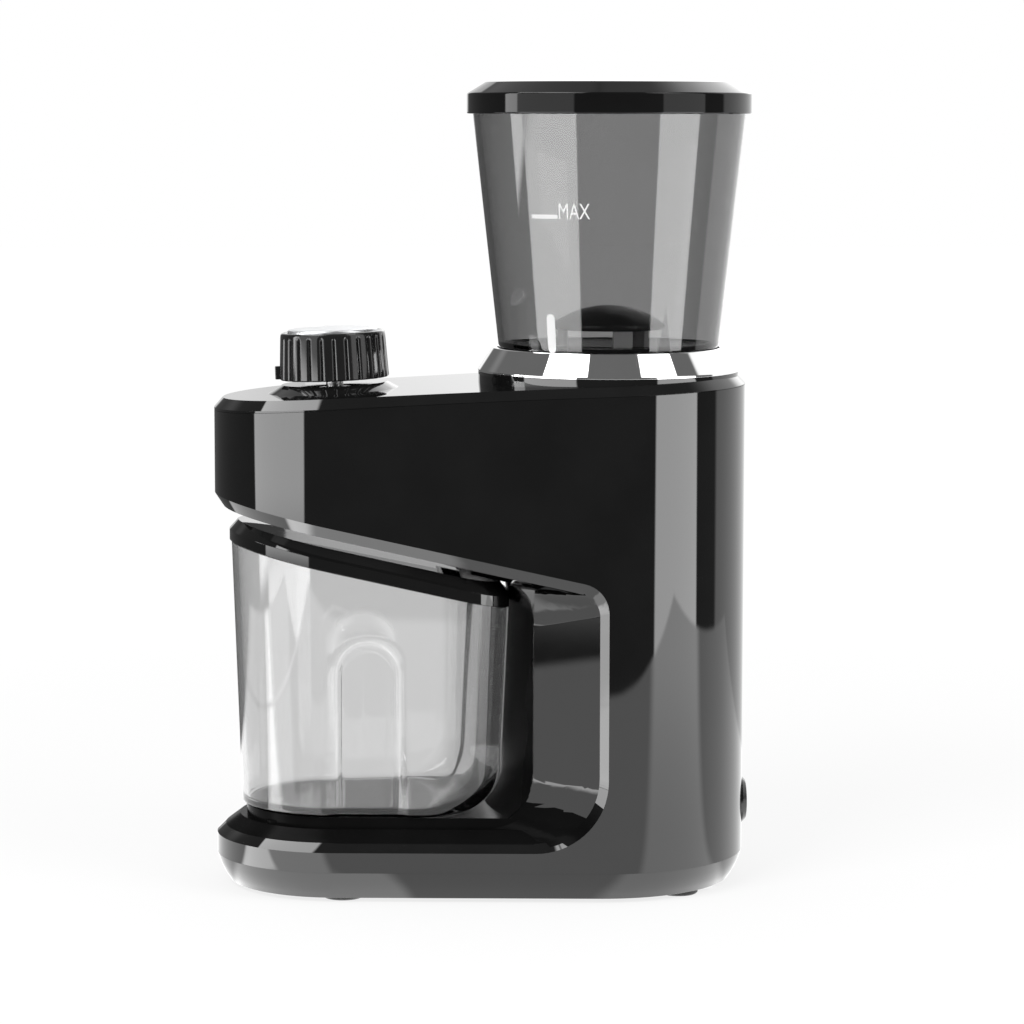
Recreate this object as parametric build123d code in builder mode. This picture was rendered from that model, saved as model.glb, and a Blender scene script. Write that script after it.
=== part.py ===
from build123d import *
from math import asin, atan, atan2, cos, degrees, pi, radians, sin, tan
import os

# A burr coffee grinder: a C-shaped housing with a bay for the grounds container, a selector
# knob on its sloping deck and a bean hopper over the conical burrs at the back.
# Millimetres, +Z up, front towards -Y. The origin is on the ground, in the middle of the part.

# ---------------------------------------------------------------- driving dimensions
# Overall form
overall_height = 280.0
hopper_axis_y = 43.8
lid_radius = 49.2
front_end_y = -(hopper_axis_y + lid_radius)
front_radius = 43.1
rear_radius = lid_radius + 0.9
rear_centre_shift = 2.5
rear_centre_y = hopper_axis_y - rear_centre_shift
rear_end_y = rear_centre_y + rear_radius
front_centre_y = front_end_y + front_radius
flank_angle = degrees(asin((rear_radius - front_radius) / (rear_centre_y - front_centre_y)))
wall = 2.6
through = 300.0

# Fits
running_gap = 0.3
bearing_gap = 0.04
press_gap = 0.02
seam_gap = 0.1
hole_spare = 1.0

# Base plate and feet
foot_height = 1.6
foot_radius = 7.0
foot_stem_radius = 2.6
foot_stem_length = 4.4
foot_offset_x = 29.0
foot_front_y = front_centre_y + 0.4
foot_rear_y = rear_centre_y + 24.7
base_seam_z = 11.1
base_inset = 4.5
base_floor = 2.4
base_bands = ((3.4, 0.52), (6.6, 0.2))
foot_edge = 0.5
vent_slot_length = 26.0
vent_slot_width = 2.4
vent_slot_pitch = 5.2
vent_slot_count = 7
vent_centre_y = 44.0
base_screw_front = (20.0, front_centre_y - 22.1)
base_screw_rear_reach = 41.2
base_screw_rear_angles = (60.0, 120.0)
base_boss_height = 20.0
base_boss_rib = 2.4
base_screw_depth = 9.0
screw_shank_radius = 1.5
screw_head_radius = 2.6
screw_head_height = 2.0
base_screw_length = 12.0
screw_boss_radius = 4.0

# Bay: the flat underside of the head, the bevel round the mouth and the finger scoops
ceiling_slope = 0.2165
ceiling_angle = degrees(atan(ceiling_slope))
ceiling_z = 113.3
bevel_inset = 3.0
ceiling_bevel_drop = 3.9
base_bevel_z = 18.0
base_bevel_rise = 2.9
shoulder_inset = 8.0
shoulder_rise = 3.7
plinth_inset = 10.4
plinth_rise = 3.6
mouth_rear_y = 40.2
mouth_top_radius = 10.6
mouth_low_radius = 25.0
mouth_bevel_back = 2.9
mouth_bevel_tighten = 2.6
bay_rear_y = 15.6
bay_corner_radius = 3.0
scoop_plane_x = rear_radius - 14.1
scoop_top_z = 107.8
scoop_top_radius = 14.0
scoop_low_radius = 19.5
mouth_front_y = -16.0
column_front_y = -12.0

# Head and deck: heights on the front end, at the origin and on the rear end
seam_heights = (165.9, 171.7, 174.6)
deck_heights = (170.1, 175.0, 178.2)
deck_bevel_inset = 3.0
deck_bevel_rise = 3.2
cover_wall = 2.4
collar_radius = lid_radius - 4.0
collar_top_z = 178.9
collar_bore_radius = collar_radius - 3.8

# Chrome ring
ring_top_z = 187.3
ring_top_radius = collar_radius - 5.0
ring_foot_height = 0.7
ring_bore_radius = collar_radius - 6.5
ring_flange = 1.6

# Bean hopper
hopper_floor_z = 188.0
hopper_top_z = overall_height - 9.8
hopper_floor_outer_radius = lid_radius - 11.0
hopper_slope = 0.1115
hopper_wall = 2.0
hopper_floor_drop = 3.0
hopper_step_z = 186.0
hopper_tube_bottom_z = 175.8
hopper_throat_radius = 14.5
hopper_landing_radius = 19.0
hopper_tube_radius = hopper_floor_outer_radius - 1.6
hopper_tube_wall = 2.4
key_count = 3
key_width = 5.0
key_height = 3.0
key_clearance = 0.3

# Hopper lid
lid_rim_bottom_z = overall_height - 12.3
lid_rim_top_z = overall_height - 5.3
lid_plateau_radius = lid_radius - 6.4
lid_plateau_z = overall_height - 1.4
lid_wall = 2.0
lid_plug_depth = 7.0
lid_plug_wall = 1.6
lid_edge_radius = 0.8

# Guard cap over the burrs
guard_radius = 18.3
guard_top_z = 201.8
guard_edge_z = 195.4
guard_under_z = 193.6
guard_leg_count = 4
guard_leg_radius = 16.6
guard_leg_width = 4.6
guard_leg_depth = 2.2
guard_foot_width = 3.4
guard_foot_height = 1.6
guard_dome_radius = 30.0
guard_turn = 20.0

# Selector knob
knob_axis_y = front_centre_y - 1.3
knob_tilt = 2.2
boss_base_radius = 22.5
boss_top_radius = 18.3
boss_height = 2.5
boss_root = 1.0
knob_gap = 2.0
knob_height = 16.2
knob_radius = 18.95
knob_top_radius = 18.1
knob_flute_count = 26
knob_flute_radius = 1.2
knob_flute_stand = 0.3
knob_edge = 0.5
knob_wall = 2.0
knob_hub_radius = 7.5
knob_nub = (1.6, 2.6, 4.6)
knob_disc_radius = 15.6
knob_disc_height = 1.1
knob_disc_recess = 0.6
timer_shaft_radius = 3.0
timer_body_radius = 9.5
timer_body_height = 9.0
timer_floor = 2.0

# Grounds container
container_inset = 8.9
container_draft = 2.0
container_bottom_z = 28.3
container_rear_y = 4.3
container_corner_radius = 13.0
container_heel_radius = 16.0
container_wall = 2.0
container_top_z = 101.5
grip_centre_y = front_centre_y + 8.9
grip_width = 27.0
grip_height = 63.1
grip_depth = 1.6
grip_flank = 3.4

# Container lid
container_lid_inset = 5.0
container_lid_rear_y = 7.7
lid_skirt = 3.7
lid_bevel_rise = 4.0
lid_thickness = 2.2
lid_lip_depth = 4.0
lid_lip_wall = 1.6
lid_lip_inset = 4.0
lid_port_radius = 12.0
lid_port_y = -8.0

# Burrs and grinding chamber
burr_shaft_radius = 4.0
burr_nut_radius = 7.5
burr_nut_height = 6.0
burr_nut_edge = 0.8
cone_bottom_z = 140.0
cone_fine_height = 4.5
cone_height = 24.0
cone_fine_teeth = 30
cone_coarse_teeth = 9
cone_radii = ((18.9, 18.1), (18.3, 15.2), (9.5, 6.9))
cone_twist = 34.0
ring_burr_radius = 27.0
ring_burr_bottom_z = 142.0
ring_burr_height = 18.0
ring_coarse_teeth = 12
ring_radii = ((19.9, 20.7), (19.8, 21.6), (23.2, 25.0))
ring_twist = -16.0
adjuster_radius = hopper_tube_radius - 3.6
adjuster_flange_radius = collar_bore_radius - 0.5
adjuster_top_z = 175.5
adjuster_flange = 3.0
chamber_floor_z = 131.0
chamber_floor = 3.0
chamber_radius = adjuster_radius + 4.5
chamber_wall = 2.2
chamber_top_z = 172.2
chamber_screw_ring = chamber_radius - 5.3
chamber_screw_angles = (-30.0, 110.0, 210.0)
sweeper_z = 135.0
sweeper_radius = chamber_screw_ring - 3.8
sweeper_disc = 2.0
sweeper_blade_height = 4.2
sweeper_blades = 6
chute_width = 24.0
chute_wall = 1.6
chute_depth = 9.0
chute_outlet_y = -8.0
chute_inlet_y = 8.8
chute_bend_z = 121.0

# Gearbox and motor
frame_z = 98.0
frame_thickness = 3.0
gearbox_height = 27.0
gearbox_wall = 1.8
gearbox_cover_height = 3.0
gear_room = 0.4
drive_teeth = 44
drive_pinion_teeth = 12
drive_module = 0.01996 * rear_radius
idler_teeth = 34
motor_pinion_teeth = 10
motor_module = 0.015968 * rear_radius
idler_direction = 36.87
motor_direction = 168.0
drive_gear_z = 117.0
drive_gear_width = 7.0
idler_gear_z = 106.5
idler_gear_width = 6.0
idler_pin_radius = 2.0
drive_hub = 3.0
gear_window_ring = 14.5
gear_window_radius = 3.6
gear_window_count = 6
tooth_addendum = 0.8
tooth_dedendum = 1.1
tooth_tip = 0.36
tooth_foot = 1.0
bearing_radius = 7.0
bearing_height = 6.0
motor_radius = 0.35 * rear_radius
motor_length = 56.0
motor_cap_height = 4.0
motor_wall = 1.4
motor_end = 3.0
motor_boss_radius = 6.5
motor_boss_height = 2.0
motor_shaft_radius = 1.6
motor_screw_spacing = 1.3 * motor_radius
armature_radius = 0.65 * motor_radius
armature_room = 10.0
armature_slots = 8
armature_slot_width = 2.0
post_radius = 4.0
post_inset = 2.7
post_angles = (12.0, 62.0, 118.0, 168.0)
post_screw_depth = 7.0

# Controls in the head
board_size = (44.0, 52.0, 1.6)
board_centre_y = front_centre_y + 5.9
board_z = 142.0
board_screw_inset = 4.0
board_post_radius = 3.2
board_screw_depth = 6.0
relay_size = (15.0, 19.0, 15.0)
relay_edge = 0.5
capacitor_radius = 5.0
capacitor_height = 16.0
capacitor_edge = 0.8
terminal_size = (20.0, 8.0, 10.0)
terminal_hole_radius = 1.6

# Cord inlet at the back
inlet_z = 27.0
inlet_hole_radius = 5.6
inlet_bore_radius = 3.6
inlet_flange_radius = 8.4
inlet_flange = 1.4
inlet_bow = 0.5


# ---------------------------------------------------------------- shared forms
def body_plan(inset=0.0):
    """Egg-shaped plan of the body in the current sketch: two arcs and their common tangents."""
    with BuildLine() as edge:
        rear = CenterArc((0, rear_centre_y), rear_radius - inset, -flank_angle, 180 + 2 * flank_angle)
        front = CenterArc(
            (0, front_centre_y), front_radius - inset, 180 + flank_angle, 180 - 2 * flank_angle
        )
        Line(rear @ 1, front @ 0)
        Line(front @ 1, rear @ 0)
    make_face(edge.edges())


def outline(z, inset=0.0):
    """Level sketch of the body's plan at height z."""
    with BuildSketch(Plane.XY.offset(z)) as sketch:
        body_plan(inset)
    return sketch.sketch


def outline_bands(stations):
    """Ruled bands of the body's plan, one between each two (height, inset) stations."""
    for (low_z, low_inset), (high_z, high_inset) in zip(stations, stations[1:]):
        loft([outline(low_z, low_inset), outline(high_z, high_inset)], ruled=True)


def column_plan(inset):
    """Plan of the column behind the bay between the two scoops, in the current sketch."""
    with BuildSketch(mode=Mode.PRIVATE) as plan:
        body_plan(inset)
    with BuildSketch(mode=Mode.PRIVATE) as behind:
        with BuildLine():
            Polyline(
                (scoop_plane_x - inset, bay_rear_y + inset),
                (rear_radius, mouth_rear_y + inset),
                (rear_radius, rear_centre_y + rear_radius),
                (-rear_radius, rear_centre_y + rear_radius),
                (-rear_radius, mouth_rear_y + inset),
                (inset - scoop_plane_x, bay_rear_y + inset),
                close=True,
            )
        make_face()
    add(plan.sketch & behind.sketch)


def slope_plane(z):
    """Plane parallel to the head's underside that meets the Z axis at height z."""
    tilt = radians(ceiling_angle)
    return Plane(origin=(0, 0, z), x_dir=(1, 0, 0), z_dir=(0, sin(tilt), cos(tilt)))


def flank_plane(inset, lean=0.0):
    """Plane along the right flank, inset from it, with its origin at y = 0, z = 0."""
    turn = radians(flank_angle)
    reach = front_radius - inset - sin(turn) * front_centre_y
    return Plane(
        origin=(reach / cos(turn), 0, 0),
        x_dir=(sin(turn), cos(turn), 0),
        z_dir=(cos(turn) * cos(radians(lean)), -sin(turn) * cos(radians(lean)), -sin(radians(lean))),
    )


def curve_height(heights, y):
    """Height at y of the crowned line through heights at the front end, origin and rear end."""
    front_z, middle_z, rear_z = heights
    share = -y / front_end_y
    return middle_z + (rear_z - front_z) / 2 * share + ((front_z + rear_z) / 2 - middle_z) * share**2


def cut_beyond(heights, far_z):
    """Cut everything between a crowned line through three heights and the level far_z."""
    reach = wall + max(rear_end_y, -front_end_y)
    ends = [(y, curve_height(heights, y)) for y in (-reach, 0, reach)]
    with BuildSketch(Plane.YZ) as profile:
        with BuildLine():
            crown = ThreePointArc(*ends)
            Polyline(crown @ 0, (-reach, far_z), (reach, far_z), crown @ 1)
        make_face()
    extrude(profile.sketch, amount=through, both=True, mode=Mode.SUBTRACT)


def lowered(heights, drop):
    """The crowned line through three heights, moved down."""
    return tuple(z - drop for z in heights)


def plan_prism(inset):
    """Tall prism of the body's plan."""
    with BuildPart() as prism:
        extrude(outline(0, inset), amount=through)
    return prism.part


def slanted_face(prism, z):
    """Section of a prism by the plane parallel to the head's underside."""
    return section(prism, section_by=slope_plane(z), mode=Mode.PRIVATE).face()


def revolved(points, axis_plane=None):
    """Body of revolution about the burr axis from a closed outline of (radius, height) points."""
    plane = axis_plane or Plane(origin=(0, hopper_axis_y, 0), x_dir=(1, 0, 0), z_dir=(0, -1, 0))
    with BuildSketch(plane) as profile:
        with BuildLine():
            Polyline(*points, close=True)
        make_face()
    revolve(profile.sketch, axis=Axis(plane.origin, plane.y_dir))


def screw(x, y, top_z, length, head_down=False):
    """Pan-head screw: the head stands on top_z and the shank runs away from it."""
    way = -1 if head_down else 1
    with Locations((x, y, top_z + way * screw_head_height / 2)):
        Cylinder(screw_head_radius, screw_head_height)
    with Locations((x, y, top_z - way * length / 2)):
        Cylinder(screw_shank_radius, length)


def drill(places, radius, low_z, high_z):
    """Round holes through everything between two heights."""
    with Locations(*[(x, y, (low_z + high_z) / 2) for x, y in places]):
        Cylinder(radius, high_z - low_z, mode=Mode.SUBTRACT)


knob_plane = Plane(
    origin=(0, knob_axis_y, curve_height(deck_heights, knob_axis_y)),
    x_dir=(1, 0, 0),
    z_dir=(0, -sin(radians(knob_tilt)), cos(radians(knob_tilt))),
)
mouth_floor_z = base_bevel_z + base_bevel_rise
shoulder_z = mouth_floor_z + shoulder_rise
plinth_z = shoulder_z + plinth_rise
drive_distance = drive_module * (drive_teeth + drive_pinion_teeth) / 2
motor_distance = motor_module * (idler_teeth + motor_pinion_teeth) / 2
idler_x = drive_distance * cos(radians(idler_direction))
idler_y = hopper_axis_y + drive_distance * sin(radians(idler_direction))
motor_x = idler_x + motor_distance * cos(radians(motor_direction))
motor_y = idler_y + motor_distance * sin(radians(motor_direction))
gearbox_z = frame_z + frame_thickness
gearbox_top_z = gearbox_z + gearbox_height
post_reach = rear_radius - wall - post_inset
post_places = [
    (post_reach * cos(radians(angle)), rear_centre_y + post_reach * sin(radians(angle)))
    for angle in post_angles
]
base_screw_places = [(side * base_screw_front[0], base_screw_front[1]) for side in (-1, 1)]
base_screw_places += [
    (
        base_screw_rear_reach * cos(radians(angle)),
        rear_centre_y + base_screw_rear_reach * sin(radians(angle)),
    )
    for angle in base_screw_rear_angles
]
foot_places = [(side * foot_offset_x, y) for side in (-1, 1) for y in (foot_front_y, foot_rear_y)]
chamber_screw_places = [
    (
        chamber_screw_ring * cos(radians(angle)),
        hopper_axis_y + chamber_screw_ring * sin(radians(angle)),
    )
    for angle in chamber_screw_angles
]
motor_screw_places = [
    (motor_x + side * motor_screw_spacing / 2, motor_y) for side in (-1, 1)
]
lug_align = (Align.MIN, Align.CENTER, Align.CENTER)
board_reach = (board_size[0] / 2 - board_screw_inset, board_size[1] / 2 - board_screw_inset)
board_places = [
    (side_x * board_reach[0], board_centre_y + side_y * board_reach[1])
    for side_x in (-1, 1)
    for side_y in (-1, 1)
]
finished = []


def finish(part, name):
    """Label a finished piece and put it with those that are written."""
    part.label = name
    finished.append(part)


# ---------------------------------------------------------------- main housing
def base_form(inset):
    """Bevelled base with its shoulder and plinth, inset all over."""
    with BuildPart() as form:
        outline_bands(
            [
                (base_seam_z, inset),
                (base_bevel_z - inset / 2, inset),
                (mouth_floor_z - inset / 2, bevel_inset + inset),
                (shoulder_z - inset, shoulder_inset + inset),
            ]
        )
        extrude(outline(base_seam_z, plinth_inset + inset), amount=plinth_z - inset - base_seam_z)
    return form.part


def head_form(inset):
    """Head over the bay with its bevelled underside, inset all over and left tall."""
    upper_z = ceiling_z + ceiling_bevel_drop + inset
    prism = plan_prism(inset)
    with BuildPart() as form:
        add(prism)
        split(bisect_by=slope_plane(upper_z), keep=Keep.TOP)
        low_face = slanted_face(plan_prism(bevel_inset + inset), ceiling_z + inset)
        loft([low_face, slanted_face(prism, upper_z)], ruled=True)
    return form.part


def mouth(plane, top_z, rear_y, floor_z, radii, stretch=1.0, slope=ceiling_slope):
    """Side profile of the bay: floor, rear wall between two round corners, and ceiling."""
    low_radius, top_radius = radii
    front = mouth_front_y / stretch
    rear = rear_y / stretch
    with BuildSketch(plane) as sketch:
        with BuildLine():
            path = FilletPolyline(
                (front, floor_z),
                (rear, floor_z),
                (rear, top_z - slope * rear_y),
                (front, top_z - slope * mouth_front_y),
                radius=[low_radius, top_radius],
            )
            Line(path @ 1, path @ 0)
        make_face()
    return sketch.sketch


def bevel_mouth(share):
    """Bay profile in the bevel of the right flank: share is 0 at the skin and 1 inside it."""
    return mouth(
        flank_plane(bevel_inset * share),
        ceiling_z + ceiling_bevel_drop * (1 - share),
        mouth_rear_y - mouth_bevel_back * share,
        base_bevel_z + base_bevel_rise * share,
        [radius - mouth_bevel_tighten * share for radius in (mouth_low_radius, mouth_top_radius)],
        stretch=cos(radians(flank_angle)),
    )


with BuildPart() as mouth_flare:
    scoop_edge = mouth(
        Plane.YZ.offset(scoop_plane_x),
        scoop_top_z,
        bay_rear_y,
        shoulder_z,
        (scoop_low_radius, scoop_top_radius),
        slope=0.0,
    )
    loft([scoop_edge, bevel_mouth(1.0)], ruled=True)
    loft([bevel_mouth(1.0), bevel_mouth(-0.5)], ruled=True)

with BuildPart() as column:
    extrude(outline(base_seam_z), amount=deck_heights[2] - base_seam_z)
    with Locations((0, column_front_y - through / 2, through / 2)):
        Box(through, through, through, mode=Mode.SUBTRACT)
    bay_core = mouth(Plane.YZ, ceiling_z, bay_rear_y, shoulder_z, (bay_corner_radius, bay_corner_radius))
    extrude(bay_core, amount=through / 2, both=True, mode=Mode.SUBTRACT)
    add(mouth_flare.part, mode=Mode.SUBTRACT)
    add(mirror(mouth_flare.part, about=Plane.YZ), mode=Mode.SUBTRACT)

with BuildPart() as column_cavity:
    with BuildSketch(Plane.XY.offset(base_seam_z)):
        column_plan(wall)
    extrude(amount=through)

with BuildPart() as main_housing:
    add(column.part)
    add(base_form(0.0))
    add(head_form(0.0))
    cut_beyond(seam_heights, through + deck_heights[2])
    add(column_cavity.part, mode=Mode.SUBTRACT)
    add(base_form(wall), mode=Mode.SUBTRACT)
    add(head_form(wall), mode=Mode.SUBTRACT)
    with Locations(*[(x, y, (base_seam_z + frame_z) / 2) for x, y in post_places]):
        Cylinder(post_radius, frame_z - base_seam_z)
    with Locations(*[(x, y, (base_seam_z + plinth_z - wall) / 2) for x, y in base_screw_places[:2]]):
        Cylinder(screw_boss_radius, plinth_z - wall - base_seam_z)
    for angle in base_screw_rear_angles:
        reach = base_screw_rear_reach
        with Locations(Location((0, rear_centre_y, base_seam_z + base_boss_height / 2), (0, 0, angle))):
            with Locations((reach, 0, 0)):
                Cylinder(screw_boss_radius, base_boss_height)
            with Locations(((reach + rear_radius - wall / 2) / 2, 0, 0)):
                Box(rear_radius - wall / 2 - reach, base_boss_rib, base_boss_height)
    for post_x, post_y in board_places:
        post_foot_z = ceiling_z + wall / 2 - ceiling_slope * post_y
        with Locations((post_x, post_y, (post_foot_z + board_z) / 2)):
            Cylinder(board_post_radius, board_z - post_foot_z)
    drill(base_screw_places, screw_shank_radius + press_gap, base_seam_z, base_seam_z + base_screw_depth)
    post_hole_z = frame_z - post_screw_depth - hole_spare
    drill(post_places, screw_shank_radius + press_gap, post_hole_z, frame_z)
    board_hole_z = board_z - board_screw_depth - hole_spare
    drill(board_places, screw_shank_radius + press_gap, board_hole_z, board_z)
    with BuildSketch(Plane(origin=(0, chute_outlet_y, ceiling_z - wall))):
        Rectangle(chute_width + 2 * chute_wall + 2 * seam_gap, chute_depth + 2 * chute_wall + 2 * seam_gap)
    extrude(amount=5 * wall, mode=Mode.SUBTRACT)
    with Locations(Location((0, rear_centre_y + rear_radius, inlet_z), (90, 0, 0))):
        Cylinder(inlet_hole_radius + press_gap, 4 * wall, mode=Mode.SUBTRACT)
finish(main_housing.part, "main_housing")


# ---------------------------------------------------------------- base plate, feet and screws
with BuildPart() as base_plate:
    outline_bands(
        [
            (foot_height, base_inset),
            *[(foot_height + rise, base_inset * share) for rise, share in base_bands],
            (base_seam_z, 0.0),
        ]
    )
    cavity_floor = outline(foot_height + base_floor, base_inset + wall)
    loft([cavity_floor, outline(base_seam_z, wall)], ruled=True, mode=Mode.SUBTRACT)
    pillar_height = base_seam_z - foot_height
    with Locations(*[(x, y, foot_height + pillar_height / 2) for x, y in base_screw_places]):
        Cylinder(screw_boss_radius, pillar_height)
    drill(base_screw_places, screw_shank_radius + bearing_gap, 0, base_seam_z)
    drill(base_screw_places, screw_head_radius + bearing_gap, 0, foot_height + screw_head_height)
    drill(foot_places, foot_stem_radius + press_gap, 0, base_seam_z)
    with BuildSketch() as vent_slots:
        with Locations((0, vent_centre_y)):
            with GridLocations(0, vent_slot_pitch, 1, vent_slot_count):
                SlotOverall(vent_slot_length, vent_slot_width)
    extrude(vent_slots.sketch, amount=foot_height + 2 * base_floor, mode=Mode.SUBTRACT)
finish(base_plate.part, "base_plate")

with BuildPart() as rubber_feet:
    with BuildSketch() as foot_discs:
        with Locations(*foot_places):
            Circle(foot_radius)
    extrude(foot_discs.sketch, amount=foot_height)
    chamfer(rubber_feet.faces().sort_by(Axis.Z)[: len(foot_places)].edges(), foot_edge)
    with Locations(*[(x, y, foot_height + foot_stem_length / 2) for x, y in foot_places]):
        Cylinder(foot_stem_radius, foot_stem_length)
finish(rubber_feet.part, "rubber_feet")

with BuildPart() as base_screws:
    for screw_x, screw_y in base_screw_places:
        screw(screw_x, screw_y, foot_height + screw_head_height, base_screw_length, head_down=True)
finish(base_screws.part, "base_screws")

with BuildPart() as cord_inlet:
    skin_y = rear_centre_y + rear_radius
    inlet_plane = Plane(origin=(0, skin_y, inlet_z), x_dir=(1, 0, 0), z_dir=(0, 0, 1))
    inner_y = -wall - inlet_bow
    revolved(
        [
            (inlet_bore_radius, inlet_flange),
            (inlet_flange_radius - inlet_flange, inlet_flange),
            (inlet_flange_radius, 0),
            (inlet_flange_radius, -2 * inlet_bow),
            (inlet_bore_radius, -2 * inlet_bow),
        ],
        inlet_plane,
    )
    extrude(outline(0), amount=through, mode=Mode.SUBTRACT)
    revolved(
        [
            (inlet_bore_radius, 0),
            (inlet_hole_radius, 0),
            (inlet_hole_radius, inner_y),
            (inlet_hole_radius + inlet_flange / 2, inner_y),
            (inlet_hole_radius, inner_y - 2 * inlet_flange),
            (inlet_bore_radius, inner_y - 2 * inlet_flange),
        ],
        inlet_plane,
    )
finish(cord_inlet.part, "cord_inlet")

# ---------------------------------------------------------------- top cover and chrome ring
with BuildPart() as top_cover:
    extrude(outline(0), amount=through)
    cut_beyond(deck_heights, 2 * through)
    deck = top_cover.faces().sort_by(Axis.Z)[-1]
    chamfer(deck.edges(), deck_bevel_inset, deck_bevel_rise, reference=deck)
    with Locations((0, hopper_axis_y, (deck_heights[0] + collar_top_z) / 2)):
        Cylinder(collar_radius, collar_top_z - deck_heights[0])
    boss_foot_radius = boss_base_radius + boss_root * (boss_base_radius - boss_top_radius) / boss_height
    with Locations(knob_plane.offset((boss_height - boss_root) / 2).location):
        Cone(boss_foot_radius, boss_top_radius, boss_height + boss_root)
    cut_beyond(tuple(z + seam_gap for z in seam_heights), -through)
    with BuildPart(mode=Mode.PRIVATE) as cover_cavity:
        extrude(outline(0, deck_bevel_inset + cover_wall / 2), amount=through)
        cut_beyond(lowered(deck_heights, cover_wall), 2 * through)
    add(cover_cavity.part, mode=Mode.SUBTRACT)
    drill([(0, hopper_axis_y)], collar_bore_radius, 0, through)
    with BuildSketch(knob_plane) as timer_hole:
        Circle(timer_shaft_radius + bearing_gap)
    extrude(timer_hole.sketch, amount=through / 10, both=True, mode=Mode.SUBTRACT)
finish(top_cover.part, "top_cover")

with BuildPart() as chrome_ring:
    ring_foot_z = collar_top_z + ring_foot_height
    revolved(
        [
            (ring_bore_radius, ring_top_z),
            (ring_top_radius, ring_top_z),
            (collar_radius, ring_foot_z),
            (collar_radius, collar_top_z),
            (collar_bore_radius, collar_top_z),
            (collar_bore_radius, ring_foot_z + ring_flange),
            (ring_bore_radius, ring_top_z - ring_flange),
        ]
    )
finish(chrome_ring.part, "chrome_ring")

# ---------------------------------------------------------------- hopper, guard cap and lid
def hopper_radius(z):
    """Outer radius of the hopper's cone at height z."""
    return hopper_floor_outer_radius + hopper_slope * (z - hopper_floor_z)


landing_z = hopper_floor_z - hopper_floor_drop
with BuildPart() as bean_hopper:
    revolved(
        [
            (hopper_radius(hopper_top_z), hopper_top_z),
            (hopper_radius(hopper_step_z), hopper_step_z),
            (hopper_tube_radius, hopper_step_z),
            (hopper_tube_radius, hopper_tube_bottom_z),
            (hopper_tube_radius - hopper_tube_wall, hopper_tube_bottom_z),
            (hopper_tube_radius - hopper_tube_wall, hopper_step_z - hopper_wall / 2),
            (hopper_landing_radius, landing_z - hopper_wall),
            (hopper_throat_radius, landing_z - hopper_wall),
            (hopper_throat_radius, landing_z),
            (hopper_landing_radius, landing_z),
            (hopper_radius(hopper_floor_z) - hopper_wall, hopper_floor_z),
            (hopper_radius(hopper_top_z) - hopper_wall, hopper_top_z),
        ]
    )
    with Locations((0, hopper_axis_y, hopper_tube_bottom_z)):
        with PolarLocations(hopper_tube_radius, key_count):
            Box(
                4 * hopper_tube_wall,
                key_width + 2 * key_clearance,
                2 * (key_height + key_clearance),
                mode=Mode.SUBTRACT,
            )
finish(bean_hopper.part, "bean_hopper")

with BuildPart() as guard_cap:
    with BuildSketch(Plane(origin=(0, hopper_axis_y, 0), x_dir=(1, 0, 0), z_dir=(0, -1, 0))) as dome:
        with BuildLine():
            RadiusArc((0, guard_top_z), (guard_radius, guard_edge_z), guard_dome_radius)
            Polyline(
                (guard_radius, guard_edge_z),
                (guard_radius, guard_edge_z - guard_foot_height / 2),
                (guard_radius - guard_foot_height, guard_under_z),
                (0, guard_under_z + guard_foot_height),
                (0, guard_top_z),
            )
        make_face()
    revolve(dome.sketch, axis=Axis((0, hopper_axis_y, 0), (0, 0, 1)))
    guard_leg_height = guard_under_z + guard_foot_height / 2 - landing_z
    with Locations((0, hopper_axis_y, landing_z + guard_leg_height / 2)):
        with PolarLocations(guard_leg_radius, guard_leg_count, start_angle=guard_turn):
            Box(guard_leg_depth, guard_leg_width, guard_leg_height)
    with Locations((0, hopper_axis_y, landing_z + guard_foot_height / 2)):
        Cylinder(guard_leg_radius + guard_foot_width / 2, guard_foot_height)
        Cylinder(guard_leg_radius - guard_foot_width / 2, guard_foot_height, mode=Mode.SUBTRACT)
finish(guard_cap.part, "guard_cap")

plug_radius = hopper_radius(lid_rim_bottom_z - lid_plug_depth + lid_wall) - hopper_wall - 2 * running_gap
lid_seat_z = hopper_top_z + running_gap
with BuildPart() as hopper_lid:
    with BuildSketch(Plane(origin=(0, hopper_axis_y, 0), x_dir=(1, 0, 0), z_dir=(0, -1, 0))) as lid_profile:
        with BuildLine():
            crown = ThreePointArc(
                (0, overall_height),
                (lid_plateau_radius / 2, overall_height - (overall_height - lid_plateau_z) / 4),
                (lid_plateau_radius, lid_plateau_z),
            )
            Polyline(
                crown @ 1,
                (lid_radius, lid_rim_top_z),
                (lid_radius, lid_rim_bottom_z),
                (hopper_radius(hopper_top_z) + 2 * running_gap, lid_rim_bottom_z),
                (hopper_radius(hopper_top_z) + 2 * running_gap, lid_seat_z),
                (plug_radius, lid_seat_z),
                (plug_radius, lid_rim_bottom_z - lid_plug_depth + lid_wall),
                (plug_radius - lid_plug_wall, lid_rim_bottom_z - lid_plug_depth + lid_wall),
                (plug_radius - lid_plug_wall, lid_seat_z + lid_wall),
                (lid_plateau_radius - 2 * lid_wall, lid_plateau_z - lid_wall),
                (0, overall_height - 1.5 * lid_wall),
                (0, overall_height),
            )
        make_face()
        fillet(lid_profile.vertices().sort_by(Axis.X)[-2:], lid_edge_radius)
    revolve(lid_profile.sketch, axis=Axis((0, hopper_axis_y, 0), (0, 0, 1)))
finish(hopper_lid.part, "hopper_lid")

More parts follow.
